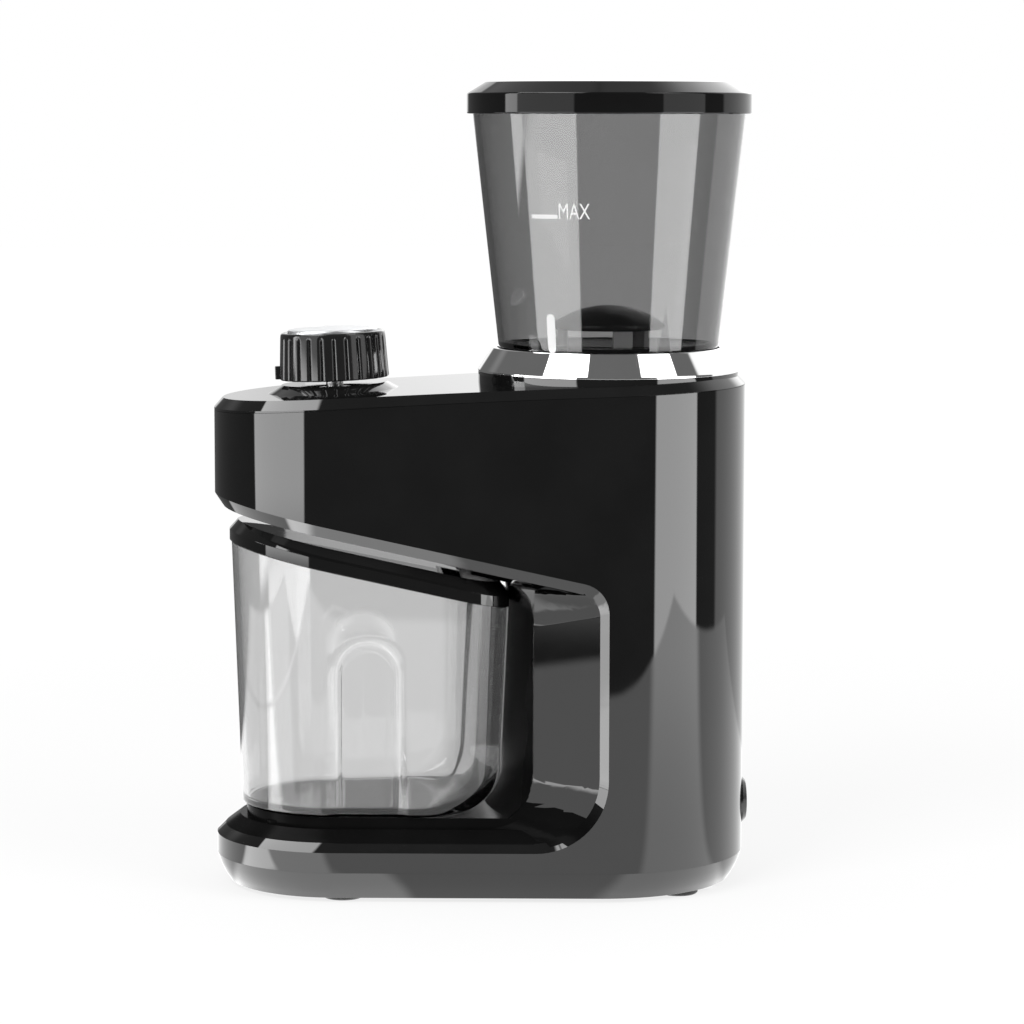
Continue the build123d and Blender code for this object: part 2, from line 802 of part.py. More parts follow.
# ---------------------------------------------------------------- selector knob
knob_foot = boss_height + knob_gap
knob_top = knob_foot + knob_height
with BuildPart() as selector_knob:
    with BuildSketch(knob_plane.offset(knob_foot)) as knob_base:
        Circle(knob_radius)
    with BuildSketch(knob_plane.offset(knob_top)) as knob_head:
        Circle(knob_top_radius)
    loft([knob_base.sketch, knob_head.sketch])
    chamfer(selector_knob.faces().sort_by(Axis.Z)[-1].edges(), knob_edge)
    with BuildSketch(knob_plane.offset(knob_foot)) as knob_flutes:
        flute_ring = knob_radius + knob_flute_stand
        with PolarLocations(flute_ring, knob_flute_count, start_angle=180 / knob_flute_count):
            Circle(knob_flute_radius)
    extrude(knob_flutes.sketch, amount=knob_height, mode=Mode.SUBTRACT)
    with BuildSketch(knob_plane.offset(knob_foot)) as knob_hollow:
        Circle(knob_radius - 2 * knob_wall)
        Circle(knob_hub_radius, mode=Mode.SUBTRACT)
    extrude(knob_hollow.sketch, amount=knob_height - 2 * knob_wall, mode=Mode.SUBTRACT)
    with BuildSketch(knob_plane.offset(knob_top)) as disc_seat:
        Circle(knob_disc_radius + press_gap)
    extrude(disc_seat.sketch, amount=-knob_disc_recess, mode=Mode.SUBTRACT)
    nub_depth, nub_width, nub_height = knob_nub
    with BuildSketch(knob_plane.offset(knob_foot)) as nub:
        with Locations((0, -knob_radius)):
            Rectangle(nub_width, 2 * nub_depth)
    extrude(nub.sketch, amount=nub_height)
    with BuildSketch(knob_plane.offset(knob_foot)) as shaft_socket:
        Circle(timer_shaft_radius + press_gap)
    extrude(shaft_socket.sketch, amount=knob_height - 2 * knob_wall, mode=Mode.SUBTRACT)
finish(selector_knob.part, "selector_knob")

with BuildPart() as knob_disc:
    with BuildSketch(knob_plane.offset(knob_top - knob_disc_recess)) as disc_plan:
        Circle(knob_disc_radius)
    extrude(disc_plan.sketch, amount=knob_disc_recess + knob_disc_height)
    chamfer(knob_disc.faces().sort_by(Axis.Z)[-1].edges(), knob_edge)
finish(knob_disc.part, "knob_disc")

with BuildPart() as timer_switch:
    with BuildSketch(knob_plane.offset(-cover_wall - running_gap)) as timer_plan:
        Circle(timer_body_radius)
    extrude(timer_plan.sketch, amount=-timer_body_height)
    timer_bore_depth = timer_body_height - timer_floor
    with BuildSketch(knob_plane.offset(-cover_wall - running_gap)) as timer_bore:
        Circle(timer_shaft_radius + bearing_gap)
    extrude(timer_bore.sketch, amount=-timer_bore_depth, mode=Mode.SUBTRACT)
finish(timer_switch.part, "timer_switch")

with BuildPart() as timer_shaft:
    with BuildSketch(knob_plane.offset(knob_top - 2 * knob_wall - running_gap)) as shaft_plan:
        Circle(timer_shaft_radius)
    shaft_drop = knob_top - 2 * knob_wall + cover_wall + timer_bore_depth - 2 * running_gap
    extrude(shaft_plan.sketch, amount=-shaft_drop)
finish(timer_shaft.part, "timer_shaft")

# ---------------------------------------------------------------- grounds container
def container_form(inset, deep=0.0):
    """Solid form of the container between its floor and its sloping rim, inset all over."""
    growth = tan(radians(container_draft))
    floor_z = container_bottom_z + inset
    with BuildPart() as form:
        with BuildSketch(Plane.XY.offset(floor_z)) as plan:
            body_plan(container_inset + inset - inset * growth)
            with Locations((0, container_rear_y - inset + through / 2)):
                Rectangle(through, through, mode=Mode.SUBTRACT)
            fillet(plan.vertices().group_by(Axis.Y)[-1], container_corner_radius - inset / 2)
        extrude(plan.sketch, amount=through / 3, taper=-container_draft)
        split(bisect_by=slope_plane(container_top_z + deep), keep=Keep.BOTTOM)
        heel = container_heel_radius - inset
        heel_y = container_rear_y - inset
        with BuildSketch(Plane.YZ) as heel_cut:
            with BuildLine():
                bend = JernArc((heel_y - heel, floor_z), (1, 0), heel, 90)
                Polyline(
                    bend @ 1,
                    (heel_y + heel, floor_z + heel),
                    (heel_y + heel, floor_z - wall),
                    (heel_y - heel, floor_z - wall),
                    bend @ 0,
                )
            make_face()
        extrude(heel_cut.sketch, amount=through, both=True, mode=Mode.SUBTRACT)
    return form.part


def arch(depth, shrink):
    """Arch-shaped grip outline on the container's leaning flank, at a depth under its skin."""
    skin_inset = container_inset + container_bottom_z * tan(radians(container_draft))
    width = grip_width - 2 * shrink
    spring_z = container_bottom_z + grip_height - grip_width / 2
    foot_z = container_bottom_z - 2 * grip_depth
    with BuildSketch(flank_plane(skin_inset + depth, container_draft)) as sketch:
        with BuildLine():
            left = Line((grip_centre_y - width / 2, foot_z), (grip_centre_y - width / 2, spring_z))
            right = Line((grip_centre_y + width / 2, spring_z), (grip_centre_y + width / 2, foot_z))
            ThreePointArc(left @ 1, (grip_centre_y, spring_z + width / 2), right @ 0)
            Line(right @ 1, left @ 0)
        make_face()
    return sketch.sketch


def grip_dent(depth):
    """Dent of the grip, from just outside the container's skin down to a depth."""
    taper = grip_flank / grip_depth
    with BuildPart() as dent:
        skin_arch = arch(-grip_depth, -taper * (depth + grip_depth) / 2)
        loft([arch(depth, taper * grip_depth), skin_arch], ruled=True)
    return dent.part


with BuildPart() as grounds_container:
    add(container_form(0.0))
    dent = grip_dent(grip_depth)
    add([dent, mirror(dent, about=Plane.YZ)], mode=Mode.SUBTRACT)
    with BuildPart(mode=Mode.PRIVATE) as container_cavity:
        add(container_form(container_wall, container_wall))
        swell = grip_dent(grip_depth + container_wall)
        add([swell, mirror(swell, about=Plane.YZ)], mode=Mode.SUBTRACT)
    add(container_cavity.part, mode=Mode.SUBTRACT)
finish(grounds_container.part, "grounds_container")


def container_lid_slab(inset, low_z, high_z):
    """Slab of the container lid's plan between two slanted planes."""
    with BuildPart() as slab:
        with BuildSketch() as plan:
            body_plan(container_lid_inset + inset)
            with Locations((0, container_lid_rear_y - inset + through / 2)):
                Rectangle(through, through, mode=Mode.SUBTRACT)
            fillet(plan.vertices().group_by(Axis.Y)[-1], container_corner_radius + container_wall)
        extrude(plan.sketch, amount=through)
        split(bisect_by=slope_plane(low_z), keep=Keep.TOP)
        if high_z:
            split(bisect_by=slope_plane(high_z), keep=Keep.BOTTOM)
    return slab.part


with BuildPart() as container_lid:
    rim_z = container_top_z + running_gap
    skirt_z = rim_z + lid_skirt
    crown_z = skirt_z + lid_bevel_rise
    add(container_lid_slab(0, rim_z, skirt_z))
    skirt_face = slanted_face(container_lid_slab(0, 0.1, None), skirt_z)
    crown_face = slanted_face(container_lid_slab(bevel_inset, 0.1, None), crown_z)
    loft([skirt_face, crown_face], ruled=True)
    add(container_lid_slab(bevel_inset + lid_lip_wall, rim_z, crown_z - lid_thickness), mode=Mode.SUBTRACT)
    add(container_lid_slab(lid_lip_inset, rim_z - lid_lip_depth, rim_z + lid_lip_wall))
    add(container_lid_slab(lid_lip_inset + lid_lip_wall, rim_z - lid_lip_depth, skirt_z), mode=Mode.SUBTRACT)
    drill([(0, lid_port_y)], lid_port_radius, 0, through)
finish(container_lid.part, "container_lid")

# ---------------------------------------------------------------- conical burrs
def toothed(z, teeth, radii, turn, lean=0.34):
    """Saw-toothed ring of points about the burr axis at height z."""
    tip, root = radii
    pitch = 2 * pi / teeth
    points = []
    for index in range(teeth):
        start = radians(turn) + index * pitch
        points.append((tip * cos(start), tip * sin(start)))
        points.append((root * cos(start + lean * pitch), root * sin(start + lean * pitch)))
    with BuildSketch(Plane(origin=(0, hopper_axis_y, z))) as sketch:
        with BuildLine():
            Polyline(*points, close=True)
        make_face()
    return sketch.sketch


def burr_stack(stations):
    """Twisted toothed bands between (height, teeth, radii, turn) stations, two by two."""
    for low, high in stations:
        loft([toothed(*low), toothed(*high)], ruled=True)


cone_top_z = cone_bottom_z + cone_height
cone_step_z = cone_bottom_z + cone_fine_height
with BuildPart() as cone_burr:
    burr_stack(
        [
            (
                (cone_bottom_z, cone_fine_teeth, cone_radii[0], 0),
                (cone_step_z, cone_fine_teeth, cone_radii[0], cone_twist / 5),
            ),
            (
                (cone_step_z, cone_coarse_teeth, cone_radii[1], cone_twist / 5),
                (cone_top_z, cone_coarse_teeth, cone_radii[2], cone_twist),
            ),
        ]
    )
    drill([(0, hopper_axis_y)], burr_shaft_radius + press_gap, 0, through)
finish(cone_burr.part, "cone_burr")

ring_top_of_burr = ring_burr_bottom_z + ring_burr_height
ring_step_z = ring_burr_bottom_z + cone_fine_height
with BuildPart() as ring_burr:
    with Locations((0, hopper_axis_y, ring_burr_bottom_z + ring_burr_height / 2)):
        Cylinder(ring_burr_radius, ring_burr_height)
    with BuildPart(mode=Mode.PRIVATE) as ring_mouth:
        burr_stack(
            [
                (
                    (ring_burr_bottom_z, cone_fine_teeth, ring_radii[0], 0),
                    (ring_step_z, cone_fine_teeth, ring_radii[0], ring_twist / 5),
                ),
                (
                    (ring_step_z, ring_coarse_teeth, ring_radii[1], ring_twist / 5),
                    (ring_top_of_burr, ring_coarse_teeth, ring_radii[2], ring_twist),
                ),
            ]
        )
    add(ring_mouth.part, mode=Mode.SUBTRACT)
finish(ring_burr.part, "ring_burr")

with BuildPart() as burr_adjuster:
    adjuster_inner = ring_burr_radius + press_gap
    flange_z = adjuster_top_z - adjuster_flange
    revolved(
        [
            (adjuster_inner, ring_burr_bottom_z),
            (adjuster_radius, ring_burr_bottom_z),
            (adjuster_radius, flange_z),
            (adjuster_flange_radius, flange_z),
            (adjuster_flange_radius, adjuster_top_z),
            (hopper_throat_radius + wall, adjuster_top_z),
            (ring_burr_radius - wall, ring_top_of_burr),
            (adjuster_inner, ring_top_of_burr),
        ]
    )
    with Locations((0, hopper_axis_y, adjuster_top_z + key_height / 2)):
        with PolarLocations(hopper_tube_radius - hopper_tube_wall / 2, key_count):
            Box(hopper_tube_wall, key_width, key_height)
finish(burr_adjuster.part, "burr_adjuster")

with BuildPart() as burr_shaft:
    shaft_foot_z = gearbox_z + running_gap
    with Locations((0, hopper_axis_y, (shaft_foot_z + cone_top_z + burr_nut_height) / 2)):
        Cylinder(burr_shaft_radius, cone_top_z + burr_nut_height - shaft_foot_z)
finish(burr_shaft.part, "burr_shaft")

with BuildPart() as burr_nut:
    with BuildSketch(Plane(origin=(0, hopper_axis_y, cone_top_z))) as nut_plan:
        RegularPolygon(burr_nut_radius, 6)
    extrude(nut_plan.sketch, amount=burr_nut_height)
    chamfer(burr_nut.faces().sort_by(Axis.Z)[-1].edges(), burr_nut_edge)
    drill([(0, hopper_axis_y)], burr_shaft_radius + press_gap, 0, through)
finish(burr_nut.part, "burr_nut")

with BuildPart() as sweeper:
    hub_radius = cone_radii[0][1] - wall
    with Locations((0, hopper_axis_y, sweeper_z + sweeper_disc / 2)):
        Cylinder(sweeper_radius, sweeper_disc)
    with Locations((0, hopper_axis_y, (sweeper_z + cone_bottom_z) / 2)):
        Cylinder(hub_radius, cone_bottom_z - sweeper_z)
    with Locations((0, hopper_axis_y, sweeper_z + sweeper_blade_height / 2)):
        with PolarLocations((sweeper_radius + hub_radius) / 2 - sweeper_disc, sweeper_blades):
            Box(sweeper_radius - hub_radius, sweeper_disc, sweeper_blade_height)
    drill([(0, hopper_axis_y)], burr_shaft_radius + press_gap, 0, through)
finish(sweeper.part, "sweeper")

# ---------------------------------------------------------------- grinding chamber and chute
with BuildPart() as grind_chamber:
    chamber_inner = chamber_radius - chamber_wall
    chamber_floor_top = chamber_floor_z + chamber_floor
    revolved(
        [
            (bearing_radius + press_gap, chamber_floor_z),
            (chamber_radius, chamber_floor_z),
            (chamber_radius, chamber_top_z),
            (chamber_inner, chamber_top_z),
            (chamber_inner, chamber_floor_top),
            (bearing_radius + press_gap, chamber_floor_top),
        ]
    )
    with Locations((0, hopper_axis_y - chamber_radius, chamber_floor_top + chute_depth / 2)):
        Box(chute_width, chamber_radius, chute_depth, mode=Mode.SUBTRACT)
    drill(chamber_screw_places, screw_shank_radius + bearing_gap, chamber_floor_z, chamber_floor_top)
finish(grind_chamber.part, "grind_chamber")


def chute_form(margin):
    """Duct from the chamber's window down to a straight outlet through the head's floor."""
    width = chute_width + 2 * margin
    depth = chute_depth + 2 * margin
    with BuildPart() as duct:
        facing_down = Plane(origin=(0, chute_outlet_y, chute_bend_z), x_dir=(1, 0, 0), z_dir=(0, 0, -1))
        with BuildSketch(facing_down) as outlet:
            Rectangle(width, depth)
        extrude(outlet.sketch, amount=chute_bend_z - ceiling_z)
        with BuildSketch(Plane.XZ.offset(-chute_inlet_y)) as inlet:
            with Locations((0, chamber_floor_top + chute_depth / 2)):
                Rectangle(width, depth)
        loft([outlet.sketch, inlet.sketch], ruled=True)
    return duct.part


with BuildPart() as grounds_chute:
    add(chute_form(chute_wall))
    add(chute_form(0.0), mode=Mode.SUBTRACT)
    split(bisect_by=slope_plane(ceiling_z), keep=Keep.TOP)
    drill([(0, hopper_axis_y)], chamber_radius, chamber_floor_z - wall, chamber_top_z)
finish(grounds_chute.part, "grounds_chute")


# ---------------------------------------------------------------- gearbox
def gearbox_plan(inset):
    """Outline round both gears and the screw lugs."""
    with BuildSketch() as plan:
        with Locations((0, hopper_axis_y)):
            Circle(drive_module * (drive_teeth / 2 + 1) + gear_room + gearbox_wall - inset)
        with Locations((idler_x, idler_y)):
            Circle(motor_module * (idler_teeth / 2 + 1) + gear_room + gearbox_wall - inset)
        make_hull()
    return plan.sketch


with BuildPart() as motor_frame:
    with BuildSketch(Plane.XY.offset(frame_z)):
        column_plan(wall + running_gap)
        with Locations((motor_x, motor_y)):
            Circle(motor_boss_radius + bearing_gap, mode=Mode.SUBTRACT)
    extrude(amount=frame_thickness)
    drill(post_places + motor_screw_places, screw_shank_radius + bearing_gap, frame_z, gearbox_z)
    drill(chamber_screw_places, screw_shank_radius + press_gap, frame_z, gearbox_z)
finish(motor_frame.part, "motor_frame")

with BuildPart() as gearbox_housing:
    extrude(gearbox_plan(0).moved(Location((0, 0, gearbox_z))), amount=gearbox_height)
    for lug_x, lug_y in chamber_screw_places:
        with Locations((lug_x, lug_y, gearbox_z + gearbox_height / 2)):
            Cylinder(screw_boss_radius, gearbox_height)
        lug_turn = degrees(atan2(hopper_axis_y - lug_y, -lug_x))
        with Locations(Location((lug_x, lug_y, gearbox_z + gearbox_height / 2), (0, 0, lug_turn))):
            Box(2 * screw_boss_radius, 2 * screw_boss_radius, gearbox_height, align=lug_align)
    gearbox_floor_z = gearbox_z + gearbox_wall
    extrude(
        gearbox_plan(gearbox_wall).moved(Location((0, 0, gearbox_floor_z))),
        amount=gearbox_height,
        mode=Mode.SUBTRACT,
    )
    with Locations((0, hopper_axis_y, gearbox_floor_z + bearing_height / 2)):
        Cylinder(bearing_radius + gearbox_wall, bearing_height)
    with Locations((idler_x, idler_y, gearbox_floor_z + gearbox_wall / 2)):
        Cylinder(idler_pin_radius + gearbox_wall / 2, gearbox_wall)
    drill([(0, hopper_axis_y)], bearing_radius + press_gap, gearbox_floor_z, gearbox_top_z)
    drill([(0, hopper_axis_y)], burr_shaft_radius + wall, gearbox_z, gearbox_floor_z)
    drill([(idler_x, idler_y)], idler_pin_radius + press_gap, gearbox_z, gearbox_top_z)
    drill([(motor_x, motor_y)], motor_boss_radius + bearing_gap, gearbox_z, gearbox_floor_z)
    drill(motor_screw_places, screw_head_radius + bearing_gap, gearbox_z, gearbox_z + screw_head_height)
    drill(chamber_screw_places, screw_shank_radius + bearing_gap, gearbox_z, gearbox_top_z)
finish(gearbox_housing.part, "gearbox_housing")

with BuildPart() as gearbox_cover:
    extrude(gearbox_plan(0).moved(Location((0, 0, gearbox_top_z))), amount=gearbox_cover_height)
    with Locations(*[(x, y, gearbox_top_z + gearbox_cover_height / 2) for x, y in chamber_screw_places]):
        Cylinder(screw_boss_radius, gearbox_cover_height)
    with BuildSketch(Plane.XY.offset(gearbox_top_z)) as lug_webs:
        for lug_x, lug_y in chamber_screw_places:
            lug_turn = degrees(atan2(hopper_axis_y - lug_y, -lug_x))
            with Locations(Location((lug_x, lug_y, 0), (0, 0, lug_turn))):
                Rectangle(2 * screw_boss_radius, 2 * screw_boss_radius, align=lug_align[:2])
    extrude(lug_webs.sketch, amount=gearbox_cover_height)
    drill([(0, hopper_axis_y)], bearing_radius + press_gap, gearbox_top_z, chamber_floor_z)
    drill([(idler_x, idler_y)], idler_pin_radius + press_gap, gearbox_top_z, chamber_floor_z)
    drill(chamber_screw_places, screw_shank_radius + bearing_gap, gearbox_top_z, chamber_floor_z)
finish(gearbox_cover.part, "gearbox_cover")

with BuildPart() as lower_bearing:
    with Locations((0, hopper_axis_y, gearbox_floor_z + bearing_height / 2)):
        Cylinder(bearing_radius, bearing_height)
        Cylinder(burr_shaft_radius + bearing_gap, bearing_height, mode=Mode.SUBTRACT)
finish(lower_bearing.part, "lower_bearing")

with BuildPart() as upper_bearing:
    with Locations((0, hopper_axis_y, gearbox_top_z + bearing_height / 2)):
        Cylinder(bearing_radius, bearing_height)
        Cylinder(burr_shaft_radius + bearing_gap, bearing_height, mode=Mode.SUBTRACT)
finish(upper_bearing.part, "upper_bearing")


def gear(x, y, low_z, width, teeth, module, turn):
    """Spur gear with straight-sided teeth, added to the current part."""
    pitch_radius = module * teeth / 2
    tip = pitch_radius + tooth_addendum * module
    root = pitch_radius - tooth_dedendum * module
    points = []
    for index in range(teeth):
        middle = radians(turn) + 2 * pi * index / teeth
        for radius, half in ((root, -tooth_foot), (tip, -tooth_tip), (tip, tooth_tip), (root, tooth_foot)):
            angle = middle + half * module / radius
            points.append((radius * cos(angle), radius * sin(angle)))
    with BuildSketch(Plane(origin=(x, y, low_z))) as profile:
        with BuildLine():
            Polyline(*points, close=True)
        make_face()
    extrude(profile.sketch, amount=width)


def mesh_turn(direction, turn, teeth, next_teeth):
    """Turn of a gear that sets its teeth in the gaps of the gear it meshes with."""
    return direction + 180 - (0.5 - (direction - turn) * teeth / 360) * 360 / next_teeth


with BuildPart() as drive_gear:
    gear(0, hopper_axis_y, drive_gear_z, drive_gear_width, drive_teeth, drive_module, 0)
    with Locations((0, hopper_axis_y, drive_gear_z - drive_hub / 2)):
        Cylinder(2 * burr_shaft_radius, drive_hub)
    with Locations((0, hopper_axis_y, drive_gear_z + drive_gear_width)):
        with PolarLocations(gear_window_ring, gear_window_count):
            Cylinder(gear_window_radius, 3 * drive_gear_width, mode=Mode.SUBTRACT)
    drill([(0, hopper_axis_y)], burr_shaft_radius + press_gap, 0, through)
finish(drive_gear.part, "drive_gear")

with BuildPart() as idler_gear:
    idler_turn = mesh_turn(idler_direction, 0, drive_teeth, drive_pinion_teeth)
    gear(idler_x, idler_y, idler_gear_z, idler_gear_width, idler_teeth, motor_module, 0)
    pinion_foot_z = idler_gear_z + idler_gear_width
    pinion_width = drive_gear_z + drive_gear_width - pinion_foot_z
    gear(idler_x, idler_y, pinion_foot_z, pinion_width, drive_pinion_teeth, drive_module, idler_turn)
    drill([(idler_x, idler_y)], idler_pin_radius + bearing_gap, 0, through)
finish(idler_gear.part, "idler_gear")

with BuildPart() as idler_pin:
    with Locations((idler_x, idler_y, (gearbox_z + chamber_floor_z) / 2)):
        Cylinder(idler_pin_radius, chamber_floor_z - gearbox_z)
finish(idler_pin.part, "idler_pin")

with BuildPart() as motor_pinion:
    pinion_turn = mesh_turn(motor_direction, 0, idler_teeth, motor_pinion_teeth)
    gear(
        motor_x, motor_y, idler_gear_z, idler_gear_width, motor_pinion_teeth, motor_module, pinion_turn
    )
    drill([(motor_x, motor_y)], motor_shaft_radius + press_gap, 0, through)
finish(motor_pinion.part, "motor_pinion")

# ---------------------------------------------------------------- motor
motor_foot_z = frame_z - motor_length
with BuildPart() as motor_can:
    with Locations((motor_x, motor_y, frame_z - motor_length / 2)):
        Cylinder(motor_radius, motor_length)
    with Locations((motor_x, motor_y, frame_z + motor_boss_height / 2)):
        Cylinder(motor_boss_radius, motor_boss_height)
    drill([(motor_x, motor_y)], motor_radius - motor_wall, motor_foot_z, frame_z - motor_end)
    drill([(motor_x, motor_y)], motor_shaft_radius + bearing_gap, motor_foot_z, gearbox_z)
    drill(motor_screw_places, screw_shank_radius + press_gap, motor_foot_z, frame_z)
finish(motor_can.part, "motor_can")

with BuildPart() as motor_end_cap:
    with Locations((motor_x, motor_y, motor_foot_z)):
        Cylinder(motor_radius, motor_cap_height, align=(Align.CENTER, Align.CENTER, Align.MAX))
        Cylinder(motor_radius - motor_wall - press_gap, motor_end)
    drill([(motor_x, motor_y)], motor_shaft_radius + bearing_gap, 0, gearbox_z)
finish(motor_end_cap.part, "motor_end_cap")

with BuildPart() as motor_armature:
    armature_height = motor_length - 2 * armature_room
    with BuildSketch(Plane(origin=(motor_x, motor_y, motor_foot_z + armature_room))) as core:
        Circle(armature_radius)
        with PolarLocations(armature_radius, armature_slots):
            SlotOverall(armature_radius, armature_slot_width, mode=Mode.SUBTRACT)
        Circle(motor_shaft_radius + press_gap, mode=Mode.SUBTRACT)
    extrude(core.sketch, amount=armature_height)
finish(motor_armature.part, "motor_armature")

with BuildPart() as motor_shaft:
    shaft_bottom_z = motor_foot_z - motor_cap_height + running_gap
    shaft_top_z = idler_gear_z + idler_gear_width + running_gap
    with Locations((motor_x, motor_y, (shaft_bottom_z + shaft_top_z) / 2)):
        Cylinder(motor_shaft_radius, shaft_top_z - shaft_bottom_z)
finish(motor_shaft.part, "motor_shaft")

with BuildPart() as motor_screws:
    for screw_x, screw_y in motor_screw_places:
        screw(screw_x, screw_y, gearbox_z, frame_thickness + motor_end)
finish(motor_screws.part, "motor_screws")

with BuildPart() as frame_screws:
    for screw_x, screw_y in post_places:
        screw(screw_x, screw_y, gearbox_z, frame_thickness + post_screw_depth)
finish(frame_screws.part, "frame_screws")

with BuildPart() as chamber_screws:
    for screw_x, screw_y in chamber_screw_places:
        screw(screw_x, screw_y, chamber_floor_top, chamber_floor_top - frame_z)
finish(chamber_screws.part, "chamber_screws")

# ---------------------------------------------------------------- control board
board_width, board_depth, board_thickness = board_size
board_top_z = board_z + board_thickness
with BuildPart() as control_board:
    with Locations((0, board_centre_y, board_z + board_thickness / 2)):
        Box(*board_size)
    fillet(control_board.edges().filter_by(Axis.Z), board_post_radius)
    drill(board_places, screw_shank_radius + bearing_gap, board_z, board_top_z)
finish(control_board.part, "control_board")

with BuildPart() as board_screws:
    for screw_x, screw_y in board_places:
        screw(screw_x, screw_y, board_top_z, board_thickness + board_screw_depth)
finish(board_screws.part, "board_screws")

with BuildPart() as relay:
    relay_width, relay_depth, relay_height = relay_size
    with Locations((-board_width / 4, board_centre_y, board_top_z + relay_height / 2)):
        Box(*relay_size)
    chamfer(relay.faces().sort_by(Axis.Z)[-1].edges(), relay_edge)
finish(relay.part, "relay")

with BuildPart() as capacitor:
    with Locations((board_width / 4, board_centre_y + capacitor_radius, board_top_z + capacitor_height / 2)):
        Cylinder(capacitor_radius, capacitor_height)
    chamfer(capacitor.faces().sort_by(Axis.Z)[-1].edges(), capacitor_edge)
finish(capacitor.part, "capacitor")

with BuildPart() as terminal_block:
    block_width, block_depth, block_height = terminal_size
    block_y = board_centre_y - board_depth / 2 + board_post_radius + block_depth / 2
    with Locations((0, block_y, board_top_z + block_height / 2)):
        Box(*terminal_size)
        with GridLocations(block_width / 4, 1, 4, 1):
            Cylinder(terminal_hole_radius, 2 * terminal_hole_radius + block_height, mode=Mode.SUBTRACT)
finish(terminal_block.part, "terminal_block")

os.makedirs("parts", exist_ok=True)
for piece in finished:
    export_step(piece, f"parts/{piece.label}.step")
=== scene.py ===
import logging
import math
from contextlib import contextmanager
from dataclasses import dataclass
from typing import Iterator, Sequence

import bmesh
import bpy
from mathutils import Matrix, Vector


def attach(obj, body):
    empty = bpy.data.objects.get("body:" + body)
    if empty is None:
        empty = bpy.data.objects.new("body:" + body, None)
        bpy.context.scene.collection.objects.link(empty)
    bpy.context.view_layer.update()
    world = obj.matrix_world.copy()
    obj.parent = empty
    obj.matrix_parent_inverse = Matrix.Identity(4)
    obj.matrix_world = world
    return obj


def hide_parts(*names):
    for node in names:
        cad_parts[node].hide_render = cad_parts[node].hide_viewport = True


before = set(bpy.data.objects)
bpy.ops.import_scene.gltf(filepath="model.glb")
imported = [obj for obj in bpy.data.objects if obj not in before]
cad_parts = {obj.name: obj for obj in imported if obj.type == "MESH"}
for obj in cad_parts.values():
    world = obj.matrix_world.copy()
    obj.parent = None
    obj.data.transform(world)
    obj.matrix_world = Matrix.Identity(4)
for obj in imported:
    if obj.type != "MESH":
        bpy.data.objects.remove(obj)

log = logging.getLogger("grinder")
Colour = tuple[float, float, float, float]
Point = tuple[float, float, float]
Span = tuple[float, float]
MM = 0.001
PER_RADIAN = 180.0 / math.pi
NOISE_SPAN = (0.3, 0.7)
SHADE_STOPS = (0.35, 0.65)


# ------------------------------------------------------------------ node trees
class Wire:
    """A node's output that takes part in sums, each of which adds a Math node."""

    def __init__(self, bench: "NodeBench", socket: bpy.types.NodeSocket) -> None:
        """Hold an output of a node on a bench."""
        self.bench, self.socket = bench, socket

    def __add__(self, other: "Wire | float") -> "Wire":
        """This plus another."""
        return self.bench.math("ADD", self, other)

    def __sub__(self, other: "Wire | float") -> "Wire":
        """This less another."""
        return self.bench.math("SUBTRACT", self, other)

    def __rsub__(self, other: float) -> "Wire":
        """A number less this."""
        return self.bench.math("SUBTRACT", other, self)

    def __mul__(self, other: "Wire | float") -> "Wire":
        """This times another."""
        return self.bench.math("MULTIPLY", self, other)

    def __truediv__(self, other: "Wire | float") -> "Wire":
        """This divided by another."""
        return self.bench.math("DIVIDE", self, other)


